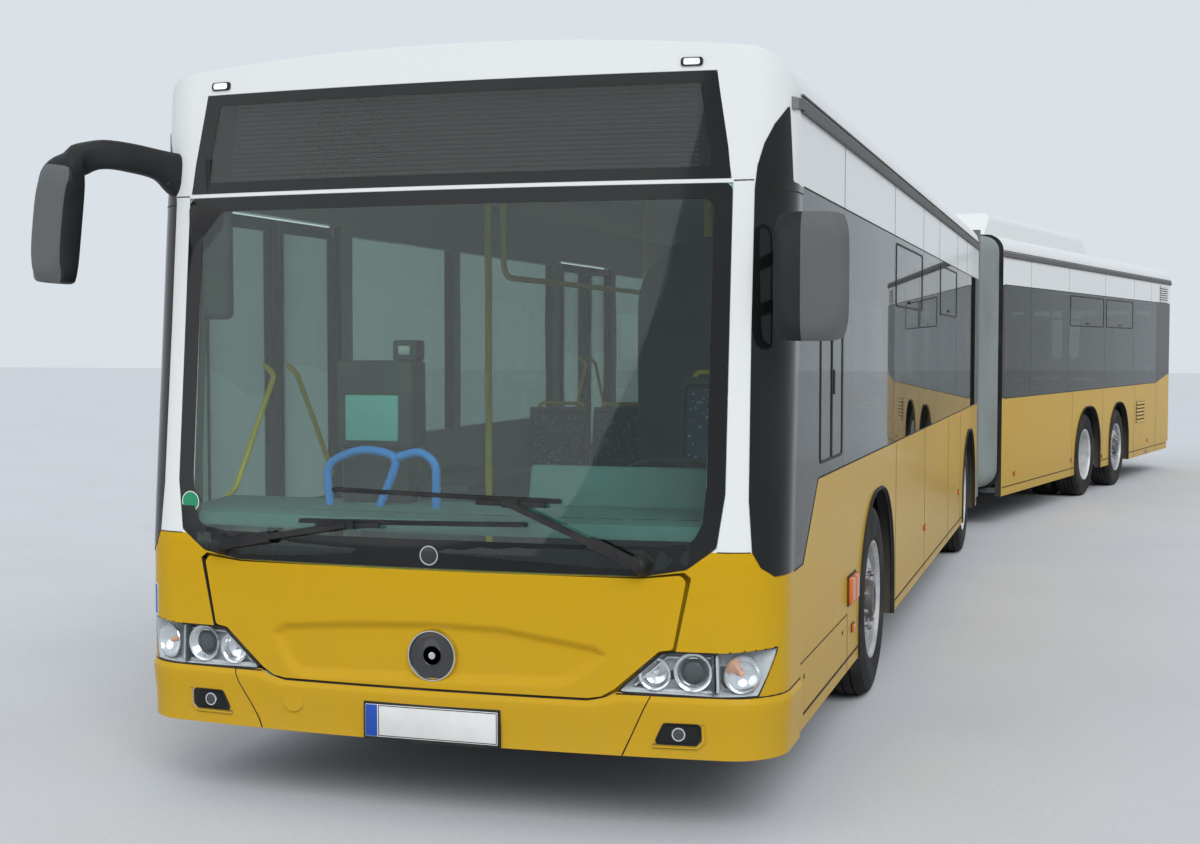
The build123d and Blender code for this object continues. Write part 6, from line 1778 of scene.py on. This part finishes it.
def mirror_head(shape, low, high, turn, shade_share, lean=0.0):
    """Add a mirror housing: a domed front painted lit in grey, with painted shade in black on a share of its
    left or (below 0) right, and its pane.
    """
    low = Vector(low)
    high = Vector(high)
    size = high - low
    centre = (low + high) / 2
    place = Matrix.Translation(centre) @ Matrix.Rotation(lean, 4, "Y") @ Matrix.Rotation(turn, 4, "Z")
    columns, layers = 14, 18
    rows = []
    for layer in range(layers + 1):
        v = 2 * layer / layers - 1
        row = []
        for column in range(columns + 1):
            u = 2 * column / columns - 1
            edge = abs(u) ** 3.2 + abs(v) ** 4.5
            round_u = 1 - 0.13 * abs(v) ** 6
            round_v = 1 - 0.06 * abs(u) ** 5
            depth = -size.y / 2 * (1 - 0.30 * u * u - 0.12 * v * v - 0.40 * min(1.0, edge) ** 3)
            spot = Vector((u * round_u * size.x / 2, depth, v * round_v * size.z / 2))
            row.append(shape.verts.new(place @ spot))
        rows.append(row)
    for layer in range(layers):
        for column in range(columns):
            face = shape.faces.new((rows[layer][column], rows[layer][column + 1], rows[layer + 1][column + 1],
                                    rows[layer + 1][column]))
            u = 2 * (column + 0.5) / columns - 1
            # Faces in the given share of one side take the black as painted shade.
            dark = u < 2 * shade_share - 1 if shade_share > 0 else u > 2 * shade_share + 1
            face.material_index = 1 if dark else 0
    border = [rows[0][column] for column in range(columns + 1)]
    border += [rows[layer][-1] for layer in range(1, layers + 1)]
    border += [rows[-1][column] for column in reversed(range(columns))]
    border += [rows[layer][0] for layer in reversed(range(1, layers))]
    seen_from = place.inverted()
    own = [seen_from @ vert.co for vert in border]
    rims = [border]
    for share_x, depth, share_z in ((1.0, 0.006, 1.0), (0.93, 0.0, 0.96), (0.93 * 0.985, 0.012, 0.96 * 0.99)):
        spots = [Vector((spot.x * share_x, size.y / 2 - depth, spot.z * share_z)) for spot in own]
        rims.append([shape.verts.new(place @ spot) for spot in spots])
    joined(shape, rims, finish=1)
    shape.faces.new(rims[-1]).material_index = 2


left_head = bmesh.new()
mirror_head(left_head, (1.243, 0.050, 1.765), (1.500, 0.160, 2.205), math.radians(9), 0.33)
for arm_z in (1.905, 2.075):
    horn(left_head, smooth_stations([((1.235, 0.340, arm_z), 0.030, 0.020, (0, 0, 1)),
                                     ((1.290, 0.280, arm_z), 0.024, 0.016, (0, 0, 1)),
                                     ((1.335, 0.200, arm_z), 0.024, 0.016, (0, 0, 1)),
                                     ((1.365, 0.110, arm_z), 0.026, 0.018, (0, 0, 1))]), finish=1)
bracket_foot = [(s_at_y(y, z), z) for y, z in oblong(0.300, 1.850, 0.430, 2.130)]
skin(left_head, softened(bracket_foot, 0.030), nose_point, 0.012, 0.010, step=0.02, rise=0.1, finish=1)
left_mirror = made("left_mirror", left_head, "front_section", "dark_plastic", mirror_lit_grey, mirror_black_and_shade,
                   mirror_silver, sharp=50)
right_head = bmesh.new()
mirror_head(right_head, (-1.552, -0.195, 1.985), (-1.385, -0.075, 2.430), math.radians(-8), -0.08,
            math.radians(6.5))
stations = [((-1.110, 0.340, 2.405), 0.100, 0.050, (0, 0, 1)),
            ((-1.160, 0.250, 2.418), 0.092, 0.048, (0, 0, 1)),
            ((-1.204, 0.170, 2.452), 0.060, 0.045, (0, 0, 1)),
            ((-1.279, 0.080, 2.474), 0.056, 0.045, (0, 0, 1)),
            ((-1.350, 0.010, 2.482), 0.056, 0.048, (0.1, 0, 1)),
            ((-1.405, -0.045, 2.462), 0.058, 0.050, (0.6, 0.2, 0.8)),
            ((-1.440, -0.085, 2.425), 0.078, 0.052, (0.9, 0.1, 0.4)),
            ((-1.458, -0.105, 2.370), 0.092, 0.042, (1, 0.05, 0.1)),
            ((-1.462, -0.110, 2.280), 0.070, 0.026, (1, 0, 0))]
horn(right_head, smooth_stations(stations), finish=1)
rib_pitch = 0.026
for rib in range(4):
    rib_z = 2.385 + rib * rib_pitch
    block(right_head, (-0.008, -0.004, -0.008), (0.008, 0.006, 0.008), 0.002,
          Matrix.Translation((-1.172, 0.172, rib_z)) @ Matrix.Rotation(math.radians(-25), 4, "Z"), finish=0)
made("right_mirror", right_head, "front_section", "dark_plastic", mirror_lit_grey, mirror_black_and_shade, mirror_silver,
     sharp=50)
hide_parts("mirrors")

# Wipers: two black arms on covered pivots under the windscreen, each with a long flat blade, parked
# across the foot of the glass; the driver's side arm lies over the other one.
wiper_black = aged_finish("wiper coating", (0.018, 0.018, 0.019), (0.06, 0.058, 0.055), 0.42,
                          stain_amount=0.4, patch_scale=8.0, grain_scale=300.0, bump=0.15)
wipers = bmesh.new()
for pivot, elbow, hinge, blade_start, blade_end, lift in (
        ((0.788, 0.979), (0.610, 1.060), (0.315, 1.186), (-0.392, 1.217), (0.495, 1.196), 0.030),
        ((-0.871, 0.992), (-0.640, 1.035), (-0.320, 1.090), (-0.526, 1.097), (0.368, 1.110), 0.022)):
    pivot_place = facing_out(s_at_x(pivot[0]), pivot[1])
    turned(wipers, ((0.0, 0.0), (0.0, 0.040), (0.012, 0.038), (0.026, 0.030), (0.044, 0.024), (0.050, 0.014),
                    (0.050, 0.0)), 32, pivot_place, closed=False)
    foot, knee, wrist = across([pivot, elbow, hinge])
    bead(wipers, [foot, knee], nose_point, 0.046, 0.018, base=lift + 0.004, step=0.03)
    bead(wipers, [knee, wrist], nose_point, 0.026, 0.012, base=lift + 0.010, step=0.03)
    blade = across([blade_start, blade_end])
    bead(wipers, blade, nose_point, 0.018, 0.010, base=0.010, step=0.03)
    bead(wipers, blade, nose_point, 0.008, 0.009, base=0.002, step=0.03, finish=1)
    along = (Vector(blade[1]) - Vector(blade[0])).normalized()
    for reach, wide, high, base in ((0.13, 0.022, 0.012, 0.019), (0.03, 0.034, 0.026, 0.014)):
        yoke = [tuple(Vector(wrist) - along * reach), tuple(Vector(wrist) + along * reach)]
        bead(wipers, yoke, nose_point, wide, high, base=base, step=0.03)
wiper_pair = made("windscreen_wipers", wipers, "front_section", "dark_plastic", wiper_black, sealant_and_shade_black)
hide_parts("wipers")

# Bellows: coated grey fabric pleated into narrow folds, one half each side of the centre hoop, clamped at
# the ends in dark frames. It bends smoothly from the front section to the rear one.
bellows_grey = aged_finish("bellows fabric", (0.27, 0.30, 0.29), (0.18, 0.19, 0.18), 0.75, stain_amount=0.45,
                           patch_scale=1.6, grain_scale=380.0, grain_contrast=0.35, bump=0.3)
hoop_grey = aged_finish("hoop aluminium", (0.20, 0.21, 0.21), (0.11, 0.11, 0.10), 0.5, stain_amount=0.4,
                        patch_scale=3.0, grain_scale=200.0, bump=0.12, metallic=0.6)
cover_node("centre_hoop", hoop_grey)
bend_reach = 0.635
bellows_half = 1.240
bellows_bottom, bellows_top = 0.375, 2.790
fold_counts = {"front": 11, "rear": 15}
fold_depth = 0.034
pleat = ((0.0, 1.0), (0.16, 0.55), (0.30, 0.12), (0.50, 0.0), (0.70, 0.12), (0.84, 0.55))
fabric = 0.010


def bellows_outline(inset):
    """Rounded outline of one fold, with its lower corners well rounded."""
    half = bellows_half - inset
    low = bellows_bottom + inset
    high = bellows_top - inset
    outline = []
    for quarter, (side, radius, centre_z) in enumerate(((1, 0.15, high - 0.15), (-1, 0.15, high - 0.15),
                                                        (-1, 0.19, low + 0.19), (1, 0.19, low + 0.19))):
        for step in range(9):
            angle = math.pi / 2 * (quarter + step / 8)
            outline.append((side * (half - radius) + radius * math.cos(angle),
                            centre_z + radius * math.sin(angle)))
    dense = []
    for start, end in zip(outline, outline[1:] + outline[:1]):
        pieces = 8 if math.dist(start, end) > 0.5 else 1
        dense += [tuple(Vector(start).lerp(Vector(end), number / pieces)) for number in range(pieces)]
    return dense


def along_bend(spot):
    """A straight vehicle's spot turned as far as the joint has bent there."""
    return turned_place(bend * eased((spot.y - pivot_y + bend_reach) / (2 * bend_reach))) @ spot


for end, low_y, high_y in (("front", 9.402, 9.990), ("rear", 10.080, 10.868)):
    folds = bmesh.new()
    pitch = (high_y - low_y) / fold_counts[end]
    rows = [(low_y + pitch * (fold + share), inset * fold_depth) for fold in range(fold_counts[end])
            for share, inset in pleat]
    rows.append((high_y, fold_depth))
    loop = rows + [(y, inset + fabric) for y, inset in reversed(rows)]
    joined(folds, [[folds.verts.new(along_bend(Vector((x, y, z)))) for x, z in bellows_outline(inset)]
                   for y, inset in loop], looped=True)
    half_piece = made(f"bellows_{end}_half", folds, None, "bellows_rubber", bellows_grey, sharp=70)
    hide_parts(f"bellows_{end}")
    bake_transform(half_piece)

for end, frame_y in (("front", 9.391), ("rear", 10.879)):
    clamp = bmesh.new()
    near_y, far_y = frame_y - 0.012, frame_y + 0.012
    rows = ((near_y, -0.012), (near_y, -0.020), (far_y, -0.020), (far_y, -0.012), (far_y, 0.030),
            (near_y, 0.030))
    joined(clamp, [[clamp.verts.new((x, y, z)) for x, z in bellows_outline(inset)] for y, inset in rows],
           looped=True)
    made(f"bellows_{end}_clamp", clamp, f"{end}_section", "dark_plastic", black_moulding_and_shade)

# Tail: lamps in bright rings, the rear window's black border, the engine cover's louvres and handle, and a
# blank plate, on a panel that is bowed like the nose but upright.
tail_apex_y = 19.54
tail_bow = math.radians(4.0)
tail_corner = 0.11
tail_corner_x = half_width - tail_corner
tail_bow_radius = (tail_corner_x + tail_corner * math.sin(tail_bow)) / math.sin(tail_bow)
tail_corner_y = tail_apex_y - tail_bow_radius * (1 - math.cos(tail_bow)) - tail_corner * math.cos(tail_bow)


def tail_point(s, z, lift=0.0):
    """Point on the tail at a length s round it from the middle, at a height, proud by lift."""
    reach = abs(s)
    flat_length = tail_bow_radius * tail_bow
    if reach < flat_length:
        angle = reach / tail_bow_radius
        x = tail_bow_radius * math.sin(angle)
        y = tail_apex_y - tail_bow_radius * (1 - math.cos(angle))
    else:
        angle = min(tail_bow + (reach - flat_length) / tail_corner, math.pi / 2)
        x = tail_corner_x + tail_corner * math.sin(angle)
        y = tail_corner_y + tail_corner * math.cos(angle)
        y -= max(0.0, reach - flat_length - tail_corner * (math.pi / 2 - tail_bow))
    return Vector((math.copysign(x + lift * math.sin(angle), s), y + lift * math.cos(angle), z))


red_lens = lamp_lens("red lens", (0.60, 0.02, 0.02), 0.25, 1.4)
tail_lamps = bmesh.new()
for side in (1, -1):
    for lamp_z, lens in ((0.760, 1), (0.905, 2), (1.050, 1)):
        spot = facing_out(side * 1.1215, lamp_z, 0.0, tail_point)
        turned(tail_lamps, ((-0.002, 0.0), (-0.002, 0.064), (0.006, 0.064), (0.010, 0.060), (0.010, 0.055)),
               40, spot, closed=False, finish=0)
        turned(tail_lamps, ((0.004, 0.056), (0.014, 0.054), (0.021, 0.044), (0.025, 0.026), (0.026, 0.0)),
               40, spot, closed=False, finish=lens)
        for ring_radius in (0.018, 0.034, 0.048):
            turned(tail_lamps, ((0.020, ring_radius - 0.003), (0.0275 - ring_radius * 0.12, ring_radius),
                                (0.020, ring_radius + 0.003)), 40, spot, finish=lens)
    upper = facing_out(side * 1.130, 2.460, 0.0, tail_point)
    turned(tail_lamps, ((-0.002, 0.0), (-0.002, 0.044), (0.010, 0.042), (0.018, 0.030), (0.020, 0.0)), 32,
           upper, closed=False, finish=1)
    pad = softened(oblong(side * 0.78, 0.480, side * 0.98, 0.520), 0.010)
    skin(tail_lamps, pad, tail_point, 0.006, 0.005, step=0.04, finish=1)
tail_lamp_piece = made("tail_lamp_set", tail_lamps, "rear_section", "lamp_glass", black_moulding_and_shade, red_lens,
                       orange_lens)
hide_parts("tail_lamps")

tail_fit = bmesh.new()
window_edge = softened(oblong(-1.085, 1.445, 1.085, 2.335), 0.070)
window_clear = softened(oblong(-0.990, 1.540, 0.990, 2.240), 0.050)
skin(tail_fit, window_edge, tail_point, 0.0016, 0.0014, hole=window_clear, step=0.06)
bead(tail_fit, window_edge, tail_point, 0.014, 0.005, closed=True, step=0.06, finish=1)
bead(tail_fit, [(-1.30, 0.600), (1.30, 0.600)], tail_point, 0.008, 0.0016, step=0.03, finish=1)
bead(tail_fit, [(-1.00, 1.355), (1.00, 1.355)], tail_point, 0.008, 0.0016, step=0.06, finish=1)
cover_gap = softened(oblong(-0.884, 0.634, 0.884, 1.246), 0.020)
bead(tail_fit, cover_gap, tail_point, 0.006, 0.0014, closed=True, step=0.06, finish=1)
block(tail_fit, (-0.265, 19.534, 0.450), (0.265, 19.546, 0.575), 0.004, finish=1)
block(tail_fit, (-0.257, 19.540, 0.457), (0.257, 19.5485, 0.568), 0.002, finish=2)
made("tail_fittings", tail_fit, "rear_section", "dark_plastic", gloss_black, sealant_and_shade_black, plate_white)
hatch_fit = bmesh.new()
slot_pitch = 0.032
for slot in range(9):
    slot_z = 0.720 + slot * slot_pitch
    bead(hatch_fit, [(-0.62, slot_z), (0.62, slot_z)], tail_point, 0.020, 0.007, base=-0.001, step=0.08)
    # A thin black strip under each blade is painted shade in the slot beneath it.
    bead(hatch_fit, [(-0.62, slot_z - 0.015), (0.62, slot_z - 0.015)], tail_point, 0.010, 0.0012, step=0.08,
         finish=1)
for grip_x in (-0.52, 0.52):
    grip = oblong(grip_x - 0.07, 1.150, grip_x + 0.07, 1.195)
    skin(hatch_fit, softened(grip, 0.012), tail_point, 0.0015, 0.001, step=0.04, finish=1)
    bead(hatch_fit, [(grip_x - 0.055, 1.186), (grip_x + 0.055, 1.186)], tail_point, 0.014, 0.012, step=0.04,
         finish=1)
made("engine_cover_fittings", hatch_fit, "engine_cover", "yellow_paint",
     coach_paint("louvre paint", rear_place, band=yellow, high=yellow, rise_start=never_y), black_moulding_and_shade)
